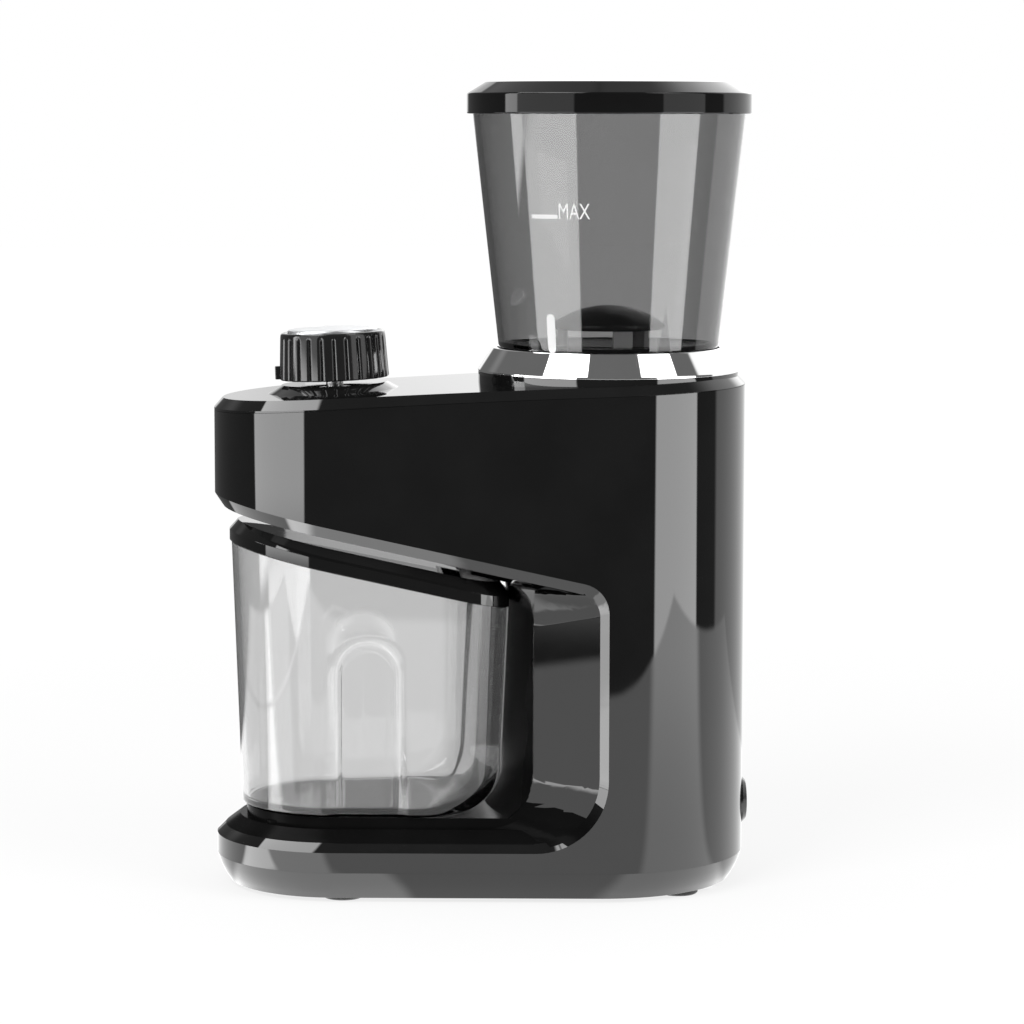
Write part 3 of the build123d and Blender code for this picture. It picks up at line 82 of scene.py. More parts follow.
class NodeBench:
    """Adds and joins nodes in one tree, whether for a material, the world or geometry."""

    def __init__(self, tree: bpy.types.NodeTree) -> None:
        """Take a node tree to work on."""
        self.tree = tree

    def add(self, kind: str, inputs: dict | None = None, **settings) -> bpy.types.Node:
        """Add a node.

        Args:
            kind: The node's class name.
            inputs: Input names or indexes with a constant, or with the wire to join to them.
            **settings: Properties of the node itself, such as its operation.

        Returns:
            The new node.
        """
        node = self.tree.nodes.new(kind)
        for name, value in settings.items():
            setattr(node, name, value)
        for name, value in (inputs or {}).items():
            self.feed(node.inputs[name], value)
        return node

    def out(self, kind: str, inputs: dict | None = None, output: str | int = 0, **settings) -> Wire:
        """Add a node in the same way and take the output of the given name or index."""
        return Wire(self, self.add(kind, inputs, **settings).outputs[output])

    def source(self, kind: str) -> dict[str, Wire]:
        """Add a node that needs no input and take all its outputs by name."""
        return {socket.name: Wire(self, socket) for socket in self.add(kind).outputs}

    def feed(self, socket: bpy.types.NodeSocket, value: object) -> None:
        """Set a constant on an input, or join a wire to it.

        Args:
            socket: The input.
            value: A constant, or the wire to join.
        """
        if isinstance(value, Wire):
            self.tree.links.new(value.socket, socket)
        else:
            socket.default_value = value

    def math(self, operation: str, *values: Wire | float) -> Wire:
        """Add a Math node.

        Args:
            operation: The Math node's operation.
            *values: Its operands.

        Returns:
            Its result.
        """
        node = self.add("ShaderNodeMath", operation=operation)
        for socket, value in zip(node.inputs, values):
            self.feed(socket, value)
        return Wire(self, node.outputs[0])

    def parts(self, vector: Wire) -> list[Wire]:
        """Split a vector into its x, y and z."""
        return list(Wire(self, socket) for socket in self.add("ShaderNodeSeparateXYZ", {0: vector}).outputs)

    def reach(self, x: Wire, y: Wire) -> Wire:
        """Distance of a point from the origin."""
        return self.math("SQRT", x * x + y * y)

    def azimuth(self, x: Wire, y: Wire) -> Wire:
        """Direction of a point from the origin, in degrees from the x axis."""
        return self.math("ARCTAN2", y, x) * PER_RADIAN

    def step(self, value: Wire, low: float, high: float) -> Wire:
        """Ease from 0, where the value is low, to 1, where it is high."""
        return self.out("ShaderNodeMapRange", {"Value": value, "From Min": low, "From Max": high},
                        "Result", interpolation_type="SMOOTHSTEP")

    def between(self, value: Wire, low: float, high: float, soft: float) -> Wire:
        """Mark a range, 1 inside and 0 outside; soft is half the width of each end."""
        return self.step(value, low - soft, low + soft) - self.step(value, high - soft, high + soft)

    def patch(self, x: Wire, x_span: Span, y: Wire, y_span: Span, soft: float) -> Wire:
        """Mark a rectangle with soft edges in the same way."""
        return self.between(x, *x_span, soft) * self.between(y, *y_span, soft)

    def noise(self, scale: float, detail: float = 3.0, stretch: Point = (1, 1, 1)) -> Wire:
        """Noise on the piece's own coordinates.

        Args:
            scale: Cycles to the metre.
            detail: Octaves of finer noise.
            stretch: Scale of the coordinates along each axis.

        Returns:
            The noise, around one half.
        """
        place = self.out("ShaderNodeTexCoord", output="Object")
        turned = self.out("ShaderNodeMapping", {"Vector": place, "Scale": stretch})
        return self.out("ShaderNodeTexNoise", {"Vector": turned, "Scale": scale, "Detail": detail}, "Fac")

    def spread(self, value: Wire, low: float, high: float) -> Wire:
        """Bring noise within its usual span into the range from low to high."""
        return self.out("ShaderNodeMapRange", {
            "Value": value, "From Min": NOISE_SPAN[0], "From Max": NOISE_SPAN[1],
            "To Min": low, "To Max": high}, "Result")

    def shades(self, value: Wire, low: Colour, high: Colour) -> Wire:
        """Two close shades of a colour, mixed by noise.

        Args:
            value: The noise.
            low: Shade at the noise's low end.
            high: Shade at its high end.

        Returns:
            The mixed colour.
        """
        ramp = self.add("ShaderNodeValToRGB", {"Fac": value})
        for stop, position, colour in zip(ramp.color_ramp.elements, SHADE_STOPS, (low, high)):
            stop.position, stop.color = position, colour
        return Wire(self, ramp.outputs["Color"])

    def bump(self, height: Wire, distance: float) -> Wire:
        """Normal of a relief whose height from 0 to 1 spans a distance in metres."""
        return self.out("ShaderNodeBump", {"Height": height, "Distance": distance, "Strength": 1.0}, "Normal")


# ------------------------------------------------------------------ finishes
@dataclass(frozen=True)
class Finish:
    """A material of one principled surface, with its variation over the piece."""

    name: str
    low: Colour
    high: Colour
    grain: float = 40.0
    rough: Span = (0.3, 0.4)
    rough_grain: float = 90.0
    relief: float = 0.00001
    relief_grain: float = 900.0
    stretch: Point = (1.0, 1.0, 1.0)
    constants: tuple[tuple[str, float], ...] = ()

    def material(self) -> bpy.types.Material:
        """Build the material once and reuse it afterwards.

        Returns:
            The material.
        """
        if self.name in bpy.data.materials:
            return bpy.data.materials[self.name]
        made = bpy.data.materials.new(self.name)
        made.use_nodes = True
        bench = NodeBench(made.node_tree)
        shader = made.node_tree.nodes["Principled BSDF"]
        for socket, value in self.constants:
            shader.inputs[socket].default_value = value
        self.dress(bench, shader)
        return made

    def dress(self, bench: NodeBench, shader: bpy.types.Node) -> None:
        """Join the pattern to the surface.

        Args:
            bench: The material's bench.
            shader: Its principled surface.
        """
        colour = bench.shades(bench.noise(self.grain, 3.0, self.stretch), self.low, self.high)
        bench.feed(shader.inputs["Base Color"], colour)
        rough = bench.spread(bench.noise(self.rough_grain, 2.0, self.stretch), *self.rough)
        bench.feed(shader.inputs["Roughness"], rough)
        if self.relief:
            height = bench.noise(self.relief_grain, 2.0, self.stretch)
            bench.feed(shader.inputs["Normal"], bench.bump(height, self.relief))


@dataclass(frozen=True)
class ClearPlastic(Finish):
    """Smoke-tinted clear plastic: the tint grows with the length of plastic looked through."""

    low: Colour = (1.0, 1.0, 1.0, 1.0)
    high: Colour = (1.0, 1.0, 1.0, 1.0)
    rough: Span = (0.0, 0.006)
    rough_grain: float = 20.0
    relief: float = 0.0000005
    relief_grain: float = 120.0
    tint: Colour = (0.5, 0.5, 0.5, 1.0)
    density: float = 100.0
    index: float = 1.49

    def dress(self, bench: NodeBench, shader: bpy.types.Node) -> None:
        """Make the surface clear and fill it with the tint.

        Args:
            bench: The material's bench.
            shader: Its principled surface.
        """
        rough = bench.spread(bench.noise(self.rough_grain), *self.rough)
        bump = bench.bump(bench.noise(self.relief_grain, 1.0), self.relief)
        for name, value in (("Base Color", self.low), ("Transmission Weight", 1.0), ("IOR", self.index),
                            ("Roughness", rough), ("Normal", bump)):
            bench.feed(shader.inputs[name], value)
        fill = bench.out("ShaderNodeVolumeAbsorption", {"Color": self.tint, "Density": self.density})
        bench.feed(bench.tree.nodes["Material Output"].inputs["Volume"], fill)


@dataclass(frozen=True)
class SpunMetal(Finish):
    """Metal turned on a lathe, with fine rings about an upright axis."""

    centre: Point = (0.0, 0.0, 0.0)
    rings: float = 2200.0

    def dress(self, bench: NodeBench, shader: bpy.types.Node) -> None:
        """Lay the rings over the metal.

        Args:
            bench: The material's bench.
            shader: Its principled surface.
        """
        place = bench.out("ShaderNodeTexCoord", output="Object")
        moved = bench.out("ShaderNodeMapping", {"Vector": place, "Location": tuple(-c for c in self.centre)})
        x, y, _ = bench.parts(moved)
        line = bench.out("ShaderNodeTexNoise", {"W": bench.reach(x, y) * self.rings, "Scale": 1.0,
                                                "Detail": 2.0}, "Fac", noise_dimensions="1D")
        bench.feed(shader.inputs["Base Color"], bench.shades(line, self.low, self.high))
        bench.feed(shader.inputs["Roughness"], bench.spread(line, *self.rough))
        bench.feed(shader.inputs["Normal"], bench.bump(line, self.relief))


def grey(value: float, warm: float = 0.0) -> Colour:
    """A neutral colour, opaque."""
    return (value + warm, value, value - warm, 1.0)


GLOSS = (("IOR", 1.52),)
METAL = (("Metallic", 1.0),)


class Finishes:
    """The grinder's finishes."""

    BLACK = Finish("gloss_black_abs", grey(0.0045), grey(0.0065), rough=(0.012, 0.03),
                   relief=0.0000004, relief_grain=500.0, constants=GLOSS)
    LID = Finish("lid_black_abs", grey(0.0045), grey(0.0065), rough=(0.02, 0.04),
                 relief=0.0000004, relief_grain=500.0, constants=(("IOR", 1.36),))
    # Painted shade: the gloss black made darker and barely reflective, for the bay's recessed floor, steps
    # and inner wall.
    PAINTED_SHADE = Finish("painted_shade_black_abs", grey(0.0035), grey(0.005), rough=(0.16, 0.22), relief=0.000001,
                 constants=(("Specular IOR Level", 0.06), ("IOR", 1.2)))
    CAP = Finish("satin_black_abs", grey(0.006), grey(0.009), rough=(0.16, 0.24),
                 relief=0.000003, relief_grain=1500.0)
    KNOB = Finish("knob_black_abs", grey(0.008), grey(0.011), rough=(0.06, 0.11),
                  relief=0.000001, constants=GLOSS)
    HOPPER = ClearPlastic("smoke_clear_plastic", tint=grey(0.30), density=560.0)
    BIN = ClearPlastic("light_smoke_clear_plastic", tint=grey(0.35), density=210.0,
                       constants=(("Specular IOR Level", 0.24),))
    CHROME = Finish("chrome_plate", grey(0.86), grey(0.90), rough=(0.015, 0.045),
                    relief=0.000001, relief_grain=260.0, constants=METAL)
    DISC = SpunMetal("spun_aluminium", grey(0.46), grey(0.56), rough=(0.24, 0.34), relief=0.000004,
                     centre=(0.0, -0.0519, 0.0), constants=METAL + (("Anisotropic", 0.5),))
    RUBBER = Finish("black_rubber", grey(0.018), grey(0.03), rough=(0.6, 0.8), relief=0.00003)
    STEEL = Finish("turned_steel", grey(0.50), grey(0.62), rough=(0.25, 0.4),
                   stretch=(1.0, 1.0, 14.0), relief=0.000008, constants=METAL)
    BURR = Finish("hardened_steel", grey(0.36), grey(0.48), rough=(0.22, 0.42), constants=METAL)
    BRASS = Finish("turned_brass", (0.62, 0.42, 0.16, 1), (0.74, 0.52, 0.22, 1), rough=(0.22, 0.36),
                   constants=METAL)
    NYLON = Finish("white_nylon", grey(0.70, 0.02), grey(0.78, 0.02), rough=(0.4, 0.52))
    BOARD = Finish("board_lacquer", (0.01, 0.10, 0.04, 1), (0.02, 0.20, 0.08, 1), grain=420.0,
                   rough=(0.25, 0.4), relief=0.00002)
    TERMINAL = Finish("terminal_plastic", (0.03, 0.28, 0.13, 1), (0.04, 0.36, 0.18, 1), rough=(0.35, 0.5))
    INK = Finish("white_ink", grey(0.90), grey(0.96), rough=(0.4, 0.5), relief=0.000004)


NODE_FINISHES: tuple[tuple[Finish, str], ...] = (
    (Finishes.BLACK, "base_plate top_cover main_housing container_lid hopper_lid"),
    (Finishes.RUBBER, "rubber_feet"),
    (Finishes.STEEL, "base_screws timer_shaft motor_frame idler_pin motor_can motor_screws frame_screws "
                     "chamber_screws board_screws capacitor burr_shaft burr_nut motor_shaft"),
    (Finishes.CAP, "cord_inlet guard_cap timer_switch grind_chamber grounds_chute gearbox_housing "
                   "gearbox_cover motor_end_cap relay burr_adjuster sweeper"),
    (Finishes.CHROME, "chrome_ring"),
    (Finishes.HOPPER, "bean_hopper"),
    (Finishes.BIN, "grounds_container"),
    (Finishes.KNOB, "selector_knob"),
    (Finishes.DISC, "knob_disc"),
    (Finishes.BRASS, "lower_bearing upper_bearing motor_pinion"),
    (Finishes.BOARD, "control_board"),
    (Finishes.TERMINAL, "terminal_block"),
    (Finishes.BURR, "ring_burr cone_burr motor_armature"),
    (Finishes.NYLON, "drive_gear idler_gear"),
)


# ------------------------------------------------------------------ mesh tools
WELD = 0.001
SLIVER = 0.0005
CAD_WELD = 0.002
CAD_FLAT_DEGREES = 0.3
FLAT_WEIGHT = 80
EASE_SEGMENTS = 3
EASED_DEGREES = 35.0
SMOOTH_DEGREES = 50.0
CORNER_SHARE = 0.49


@contextmanager
def opened(mesh: bpy.types.Mesh, weld: float = 0.0, outwards: bool = True) -> Iterator[bmesh.types.BMesh]:
    """Open a mesh for editing and write it back afterwards.

    Args:
        mesh: The mesh.
        weld: Points closer than this are joined first, in millimetres.
        outwards: Whether its faces are turned outwards at the end.

    Yields:
        The editable shell.
    """
    shell = bmesh.new()
    shell.from_mesh(mesh)
    if weld:
        bmesh.ops.remove_doubles(shell, verts=shell.verts, dist=weld * MM)
    yield shell
    if outwards:
        bmesh.ops.recalc_face_normals(shell, faces=shell.faces)
    shell.to_mesh(mesh)
    shell.free()


def mended(mesh: bpy.types.Mesh, weld: float = 0.0) -> bpy.types.Mesh:
    """Join a mesh's close points and turn its faces outwards."""
    with opened(mesh, weld):
        return mesh


def closed_mesh(name: str, verts: Sequence[Point], faces: Sequence[tuple[int, ...]]) -> bpy.types.Mesh:
    """Make a closed mesh whose faces look outwards.

    Args:
        name: The mesh's name.
        verts: Its points, in metres.
        faces: Its faces, each as indexes of points.

    Returns:
        The mesh.
    """
    mesh = bpy.data.meshes.new(name)
    mesh.from_pydata(verts, [], faces)
    return mended(mesh)


def placed(name: str, data: bpy.types.ID) -> bpy.types.Object:
    """Put an object in the scene.

    Args:
        name: The object's name.
        data: Its mesh, curve, lamp or camera.

    Returns:
        The object.
    """
    made = bpy.data.objects.new(name, data)
    bpy.context.scene.collection.objects.link(made)
    return made


def new_piece(name: str, mesh: bpy.types.Mesh, finish: Finish) -> bpy.types.Object:
    """Put a mesh in the scene with its finish.

    Args:
        name: The piece's name.
        mesh: Its mesh, in place.
        finish: Its finish.

    Returns:
        The piece.
    """
    mesh.materials.clear()
    mesh.materials.append(finish.material())
    return placed(name, mesh)


def applied(piece: bpy.types.Object) -> bpy.types.Object:
    """Turn a piece's modifiers into plain mesh.

    Args:
        piece: The piece.

    Returns:
        The same piece, with no modifier left.
    """
    graph = bpy.context.evaluated_depsgraph_get()
    mesh = bpy.data.meshes.new_from_object(piece.evaluated_get(graph), depsgraph=graph)
    piece.modifiers.clear()
    piece.data = mesh
    return piece


def fair(piece: bpy.types.Object, sharp_degrees: float) -> bpy.types.Object:
    """Shade a piece smoothly, with flat faces kept flat.

    Args:
        piece: The piece.
        sharp_degrees: Edges that turn by more than this stay sharp.

    Returns:
        The same piece.
    """
    mesh = piece.data
    mesh.shade_smooth()
    mesh.set_sharp_from_angle(angle=math.radians(sharp_degrees))
    weigh = piece.modifiers.new("weigh", "WEIGHTED_NORMAL")
    weigh.keep_sharp = True
    weigh.weight = FLAT_WEIGHT
    return applied(piece)


def eased(piece: bpy.types.Object, width: float, sharp: float = 24.0) -> bpy.types.Object:
    """Round a piece's sharp edges slightly.

    Args:
        piece: The piece.
        width: Width of the rounding, in millimetres.
        sharp: Edges that turn by more than this are rounded, in degrees.

    Returns:
        The same piece.
    """
    ease = piece.modifiers.new("ease", "BEVEL")
    ease.width = width * MM
    ease.segments = EASE_SEGMENTS
    ease.limit_method = "ANGLE"
    ease.angle_limit = math.radians(sharp)
    ease.use_clamp_overlap = True
    return fair(applied(piece), EASED_DEGREES)


def eased_copy(node: str, name: str, finish: Finish, width: float, sharp: float = 24.0) -> bpy.types.Object:
    """Copy a CAD node as one welded shell whose edges are slightly rounded.

    Args:
        node: The CAD node.
        name: The new piece's name.
        finish: Its finish.
        width: Width of the rounding, in millimetres.
        sharp: Edges that turn by more than this are rounded, in degrees.

    Returns:
        The piece, which stands for the node.
    """
    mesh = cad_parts[node].data.copy()
    with opened(mesh, CAD_WELD, outwards=False) as shell:
        bmesh.ops.dissolve_limit(shell, angle_limit=math.radians(CAD_FLAT_DEGREES), verts=shell.verts,
                                 edges=shell.edges)
    piece = eased(new_piece(name, mesh, finish), width, sharp)
    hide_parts(node)
    return piece


class Turning:
    """Turned forms: a profile swept about an upright axis in Geometry Nodes, with flutes if asked."""

    TREE = "turned_form"

    def tree(self) -> bpy.types.NodeTree:
        """Build the tree once.

        Returns:
            The tree. Its profile points hold radius, share of the flutes' depth, and height.
        """
        if self.TREE in bpy.data.node_groups:
            return bpy.data.node_groups[self.TREE]
        made = bpy.data.node_groups.new(self.TREE, "GeometryNodeTree")
        face = made.interface
        face.new_socket("Profile", in_out="INPUT", socket_type="NodeSocketGeometry")
        for name, kind in (("Segments", "Int"), ("Axis Y", "Float"), ("Flutes", "Int"),
                           ("Flute Depth", "Float"), ("Flute Sharpness", "Float"), ("Finish", "Material")):
            face.new_socket(name, in_out="INPUT", socket_type=f"NodeSocket{kind}")
        face.new_socket("Form", in_out="OUTPUT", socket_type="NodeSocketGeometry")
        bench = NodeBench(made)
        given = bench.source("NodeGroupInput")
        count = bench.out("GeometryNodeAttributeDomainSize", {"Geometry": given["Profile"]}, "Point Count")
        rows = given["Segments"] + 1.0
        grid = bench.out("GeometryNodeMeshGrid", {"Size X": 1.0, "Size Y": 1.0, "Vertices X": count,
                                                  "Vertices Y": rows}, "Mesh")
        index = bench.out("GeometryNodeInputIndex")
        column = bench.math("FLOOR", (index + 0.5) / rows)
        row = index - column * rows
        sample = bench.add("GeometryNodeSampleIndex", {"Geometry": given["Profile"], "Index": column},
                           data_type="FLOAT_VECTOR", domain="POINT")
        bench.feed(sample.inputs["Value"], bench.out("GeometryNodeInputPosition"))
        reach, share, height = bench.parts(Wire(bench, sample.outputs[0]))
        angle = row / given["Segments"] * (2.0 * math.pi)
        wave = bench.math("ABSOLUTE", bench.math("SINE", angle * (given["Flutes"] * 0.5)))
        groove = bench.math("POWER", 1.0 - wave, given["Flute Sharpness"])
        radius = reach - given["Flute Depth"] * share * groove
        place = bench.out("ShaderNodeCombineXYZ", {
            "X": radius * bench.math("COSINE", angle),
            "Y": given["Axis Y"] + radius * bench.math("SINE", angle), "Z": height})
        form = bench.out("GeometryNodeSetPosition", {"Geometry": grid, "Position": place})
        form = bench.out("GeometryNodeMergeByDistance", {"Geometry": form, "Distance": WELD * MM})
        form = bench.out("GeometryNodeRealizeInstances", {"Geometry": form})
        form = bench.out("GeometryNodeSetMaterial", {"Geometry": form, "Material": given["Finish"]})
        bench.add("NodeGroupOutput", {"Form": form})
        return made

    def form(self, name: str, profile: Sequence[Sequence[float]], finish: Finish, axis_y: float = 0.0,
             segments: int = 160, flutes: int = 0, depth: float = 0.0, sharpness: float = 1.0,
             closed: bool = True) -> bpy.types.Object:
        """Turn a profile.

        Args:
            name: The piece's name.
            profile: Points of (radius, height) or (radius, height, share of the flutes), in millimetres.
            finish: The piece's finish.
            axis_y: Where the axis stands, in millimetres.
            segments: Steps round the axis.
            flutes: Number of flutes.
            depth: Depth of the flutes, in millimetres.
            sharpness: Narrowness of the flutes.
            closed: Whether the profile returns to its first point.

        Returns:
            The turned piece.
        """
        points = [(p[0] * MM, p[2] if len(p) > 2 else 0.0, p[1] * MM) for p in profile]
        if closed:
            points.append(points[0])
        mesh = bpy.data.meshes.new(name)
        mesh.from_pydata(points, [(i, i + 1) for i in range(len(points) - 1)], [])
        piece = new_piece(name, mesh, finish)
        tree = self.tree()
        modifier = piece.modifiers.new("turn", "NODES")
        modifier.node_group = tree
        values = {"Segments": segments, "Axis Y": axis_y * MM, "Flutes": flutes, "Flute Depth": depth * MM,
                  "Flute Sharpness": sharpness, "Finish": finish.material()}
        for item in tree.interface.items_tree:
            if item.item_type == "SOCKET" and item.in_out == "INPUT" and item.name in values:
                modifier[item.identifier] = values[item.name]
        applied(piece)
        with opened(piece.data, WELD) as shell:
            bmesh.ops.dissolve_degenerate(shell, edges=shell.edges, dist=SLIVER * MM)
        return fair(piece, SMOOTH_DEGREES)


def rounded(points: Sequence[Sequence[float]], radii: dict[int, float], steps: int = 5) -> list[Span]:
    """Round chosen corners of a closed profile.

    Args:
        points: The profile's corners.
        radii: Corner index with its radius, in millimetres.
        steps: Points on each rounding.

    Returns:
        The profile with its corners rounded.
    """
    made: list[Span] = []
    for i, point in enumerate(points):
        here = Vector(point[:2])
        if i not in radii:
            made.append((here.x, here.y))
            continue
        before = Vector(points[i - 1][:2]) - here
        after = Vector(points[(i + 1) % len(points)][:2]) - here
        half = before.angle(after) / 2
        reach = min(radii[i] / math.tan(half), CORNER_SHARE * before.length, CORNER_SHARE * after.length)
        radius = reach * math.tan(half)
        middle = here + (before.normalized() + after.normalized()).normalized() * (radius / math.sin(half))
        start = here + before.normalized() * reach - middle
        end = here + after.normalized() * reach - middle
        turn = start.angle_signed(end)
        for k in range(steps + 1):
            spoke = start.copy()
            spoke.rotate(Matrix.Rotation(-turn * k / steps, 2))
            made.append(tuple(middle + spoke))
    return made


def bow(start: Sequence[float], end: Sequence[float], rise: float, steps: int) -> list[Span]:
    """Points on a shallow arc between two points of a profile.

    Args:
        start: Where it starts.
        end: Where it ends.
        rise: How far it stands out from the straight line in its middle, to the left of the way.
        steps: Number of pieces.

    Returns:
        The arc's points, both ends included.
    """
    a, b = Vector(start), Vector(end)
    side = Vector((-(b - a).y, (b - a).x)).normalized()
    shares = [k / steps for k in range(steps + 1)]
    return [tuple(a.lerp(b, share) + side * rise * 4 * share * (1 - share)) for share in shares]


def ride_slot(piece: bpy.types.Object, body: str) -> None:
    """Fix a finished piece to its body, and report it.

    Args:
        piece: The finished piece.
        body: The body it moves with.
    """
    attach(piece, body)
    log.info("%s rides on %s with %d faces", piece.name, body, len(piece.data.polygons))


# ------------------------------------------------------------------ housing
SHELF_Z = (0.0208, 0.042)
STEP_TOP_Z = 0.0285
SHELF_UP = 0.25


def low_shelf(mesh: bpy.types.Mesh, face: bpy.types.MeshPolygon) -> bool:
    """Tell whether a face lies on the bay's floor, its steps or its low bend, which get painted shade: a
    darker, barely reflective copy of the black plastic.

    Args:
        mesh: The mesh.
        face: Its face.

    Returns:
        Whether it does.
    """
    heights = [mesh.vertices[index].co.z for index in face.vertices]
    step = min(heights) > SHELF_Z[0] and max(heights) < STEP_TOP_Z
    return step or (SHELF_Z[0] < face.center.z < SHELF_Z[1] and face.normal.z > SHELF_UP)


@dataclass
class Housing:
    """The moulded shells: housing, top cover and base plate, with slightly rounded edges."""

    edge: float = 0.5
    crease: float = 15.0
    shells: tuple[str, ...] = ("main_housing", "top_cover", "base_plate")

    def build(self) -> None:
        """Make each shell and let it stand for its node."""
        for node in self.shells:
            piece = eased_copy(node, f"{node}_shell", Finishes.BLACK, self.edge, self.crease)
            # Faces on the bay's floor and steps get the painted shade finish, a darker and barely reflective
            # black.
            piece.data.materials.append(Finishes.PAINTED_SHADE.material())
            for face in piece.data.polygons:
                face.material_index = int(low_shelf(piece.data, face))
            ride_slot(piece, "housing")


@dataclass
class BayLiner:
    """The moulded skin of the bay: a bowed rear wall that runs into two finger scoops."""

    bow_y: float = 8.2
    lean: float = math.tan(math.radians(2.0))
    lean_top_z: float = 100.0
    bow_radii: Span = (15.0, 10.0)
    edge_x: float = 35.9
    edge_y: float = 15.5
    edge_radii: Span = (19.5, 13.0)
    mouth_y: float = 37.2
    mouth_radii: Span = (22.4, 8.0)
    mouth_reach: float = 39.98
    splay: float = 7.0 / 91.2
    bow_centre_y: float = -49.9
    front_y: float = -6.0
    floor_z: float = 24.6
    mouth_floor_z: float = 21.0
    ceiling_z: float = 113.15
    edge_ceiling_z: float = 110.8
    slope: float = 0.2165
    thickness: float = 1.2
    rounding: float = 1.2
    crease: float = 15.0
    least_floor: float = 0.5
    least_ceiling: float = 3.0
    painted_shade_z: float = 26.0
    painted_shade_margin: float = 1.4
    bow_steps: int = 10
    scoop_steps: int = 6
    low_steps: int = 14
    wall_steps: int = 6
    top_steps: int = 12

    def curve(self, rear: float, radii: Span, floor: float, ceiling: float, out: float) -> list[Span]:
        """Side profile of the skin: floor, low bend, wall, top bend and ceiling.

        Args:
            rear: Y of the wall.
            radii: Radii of the low and the top bend.
            floor: Height of the floor.
            ceiling: Height of the sloping ceiling at y = 0.
            out: How far the profile lies behind the visible one.

        Returns:
            Its points of (y, z).
        """
        low, top = radii[0] + out, radii[1] + out
        tilt = math.atan(self.slope)
        low_y, low_z = rear - radii[0], floor + radii[0]
        top_y = rear - radii[1]
        top_z = ceiling - self.slope * top_y - radii[1] / math.cos(tilt)
        points = [(min(self.front_y, low_y - self.least_floor), floor - out)]
        for k in range(self.low_steps + 1):
            angle = -math.pi / 2 + k * math.pi / (2 * self.low_steps)
            points.append((low_y + low * math.cos(angle), low_z + low * math.sin(angle)))
        points += [(rear + out, low_z + (top_z - low_z) * k / self.wall_steps)
                   for k in range(1, self.wall_steps)]
        for k in range(self.top_steps + 1):
            angle = (math.pi / 2 - tilt) * k / self.top_steps
            points.append((top_y + top * math.cos(angle), top_z + top * math.sin(angle)))
        end = min(self.front_y, top_y - self.least_ceiling)
        points.append((end, ceiling - self.slope * end + out / math.cos(tilt)))
        return points

    def station(self, x: float, out: float) -> list[Point]:
        """The profile of the skin at one place across the bay.

        Args:
            x: Distance from the middle; past the scoop's edge it counts as 1 plus the share of the way
                to the mouth.
            out: How far the profile lies behind the visible one.

        Returns:
            Its points in millimetres.
        """
        edge = self.curve(self.edge_y, self.edge_radii, self.floor_z, self.edge_ceiling_z, out)
        if x <= 1.0:
            share = x * x
            radii = tuple(a + (b - a) * share for a, b in zip(self.bow_radii, self.edge_radii))
            rear = self.bow_y + (self.edge_y - self.bow_y) * share
            ceiling = self.ceiling_z + (self.edge_ceiling_z - self.ceiling_z) * share
            return [(x * self.edge_x, y - max(0.0, self.lean_top_z - z) * self.lean * (1.0 - share), z)
                    for y, z in self.curve(rear, radii, self.floor_z, ceiling, out)]
        share = x - 1.0
        outer = self.curve(self.mouth_y, self.mouth_radii, self.mouth_floor_z, self.ceiling_z, out)
        made: list[Point] = []
        for (y0, z0), (y1, z1) in zip(edge, outer):
            mouth_x = self.mouth_reach + (y1 - self.bow_centre_y) * self.splay
            mouth_x /= math.cos(math.asin(self.splay))
            made.append((self.edge_x + (mouth_x - self.edge_x) * share, y0 + (y1 - y0) * share,
                         z0 + (z1 - z0) * share))
        return made

    def build(self) -> None:
        """Loft the skin across the bay, give it a thickness and fix it to the housing."""
        places = [k / self.bow_steps for k in range(self.bow_steps + 1)]
        places += [1.0 + k / self.scoop_steps for k in range(1, self.scoop_steps + 1)]
        sheets: list[list[list[Point]]] = []
        for out in (0.0, self.thickness):
            half = [self.station(place, out) for place in places]
            sheets.append([[(-x, y, z) for x, y, z in row] for row in reversed(half[1:])] + half)
        rows, count = len(sheets[0]), len(sheets[0][0])
        verts = [(x * MM, y * MM, z * MM) for sheet in sheets for row in sheet for x, y, z in row]
        size = rows * count
        faces = [(start, start + count, start + count + 1, start + 1)
                 for r in range(rows - 1) for start in range(r * count, (r + 1) * count - 1)]
        faces += [tuple(size + i for i in reversed(face)) for face in faces]
        rim = list(range(count)) + list(range(2 * count - 1, size, count))
        rim += list(range(size - 2, size - count - 1, -1)) + list(range(size - 2 * count, 0, -count))
        faces += [(a, b, size + b, size + a) for a, b in zip(rim, rim[1:] + rim[:1])]
        mesh = closed_mesh("bay_liner", verts, faces)
        piece = eased(new_piece("bay_liner", mesh, Finishes.BLACK), self.rounding, self.crease)
        # The inner wall above the floor and the low shelves get the painted shade finish, a darker and barely
        # reflective black.
        piece.data.materials.append(Finishes.PAINTED_SHADE.material())
        for face in piece.data.polygons:
            inside = (abs(face.center.x) < (self.edge_x - self.painted_shade_margin) * MM
                      and face.center.z > self.painted_shade_z * MM)
            face.material_index = int(inside or low_shelf(piece.data, face))
        ride_slot(piece, "housing")


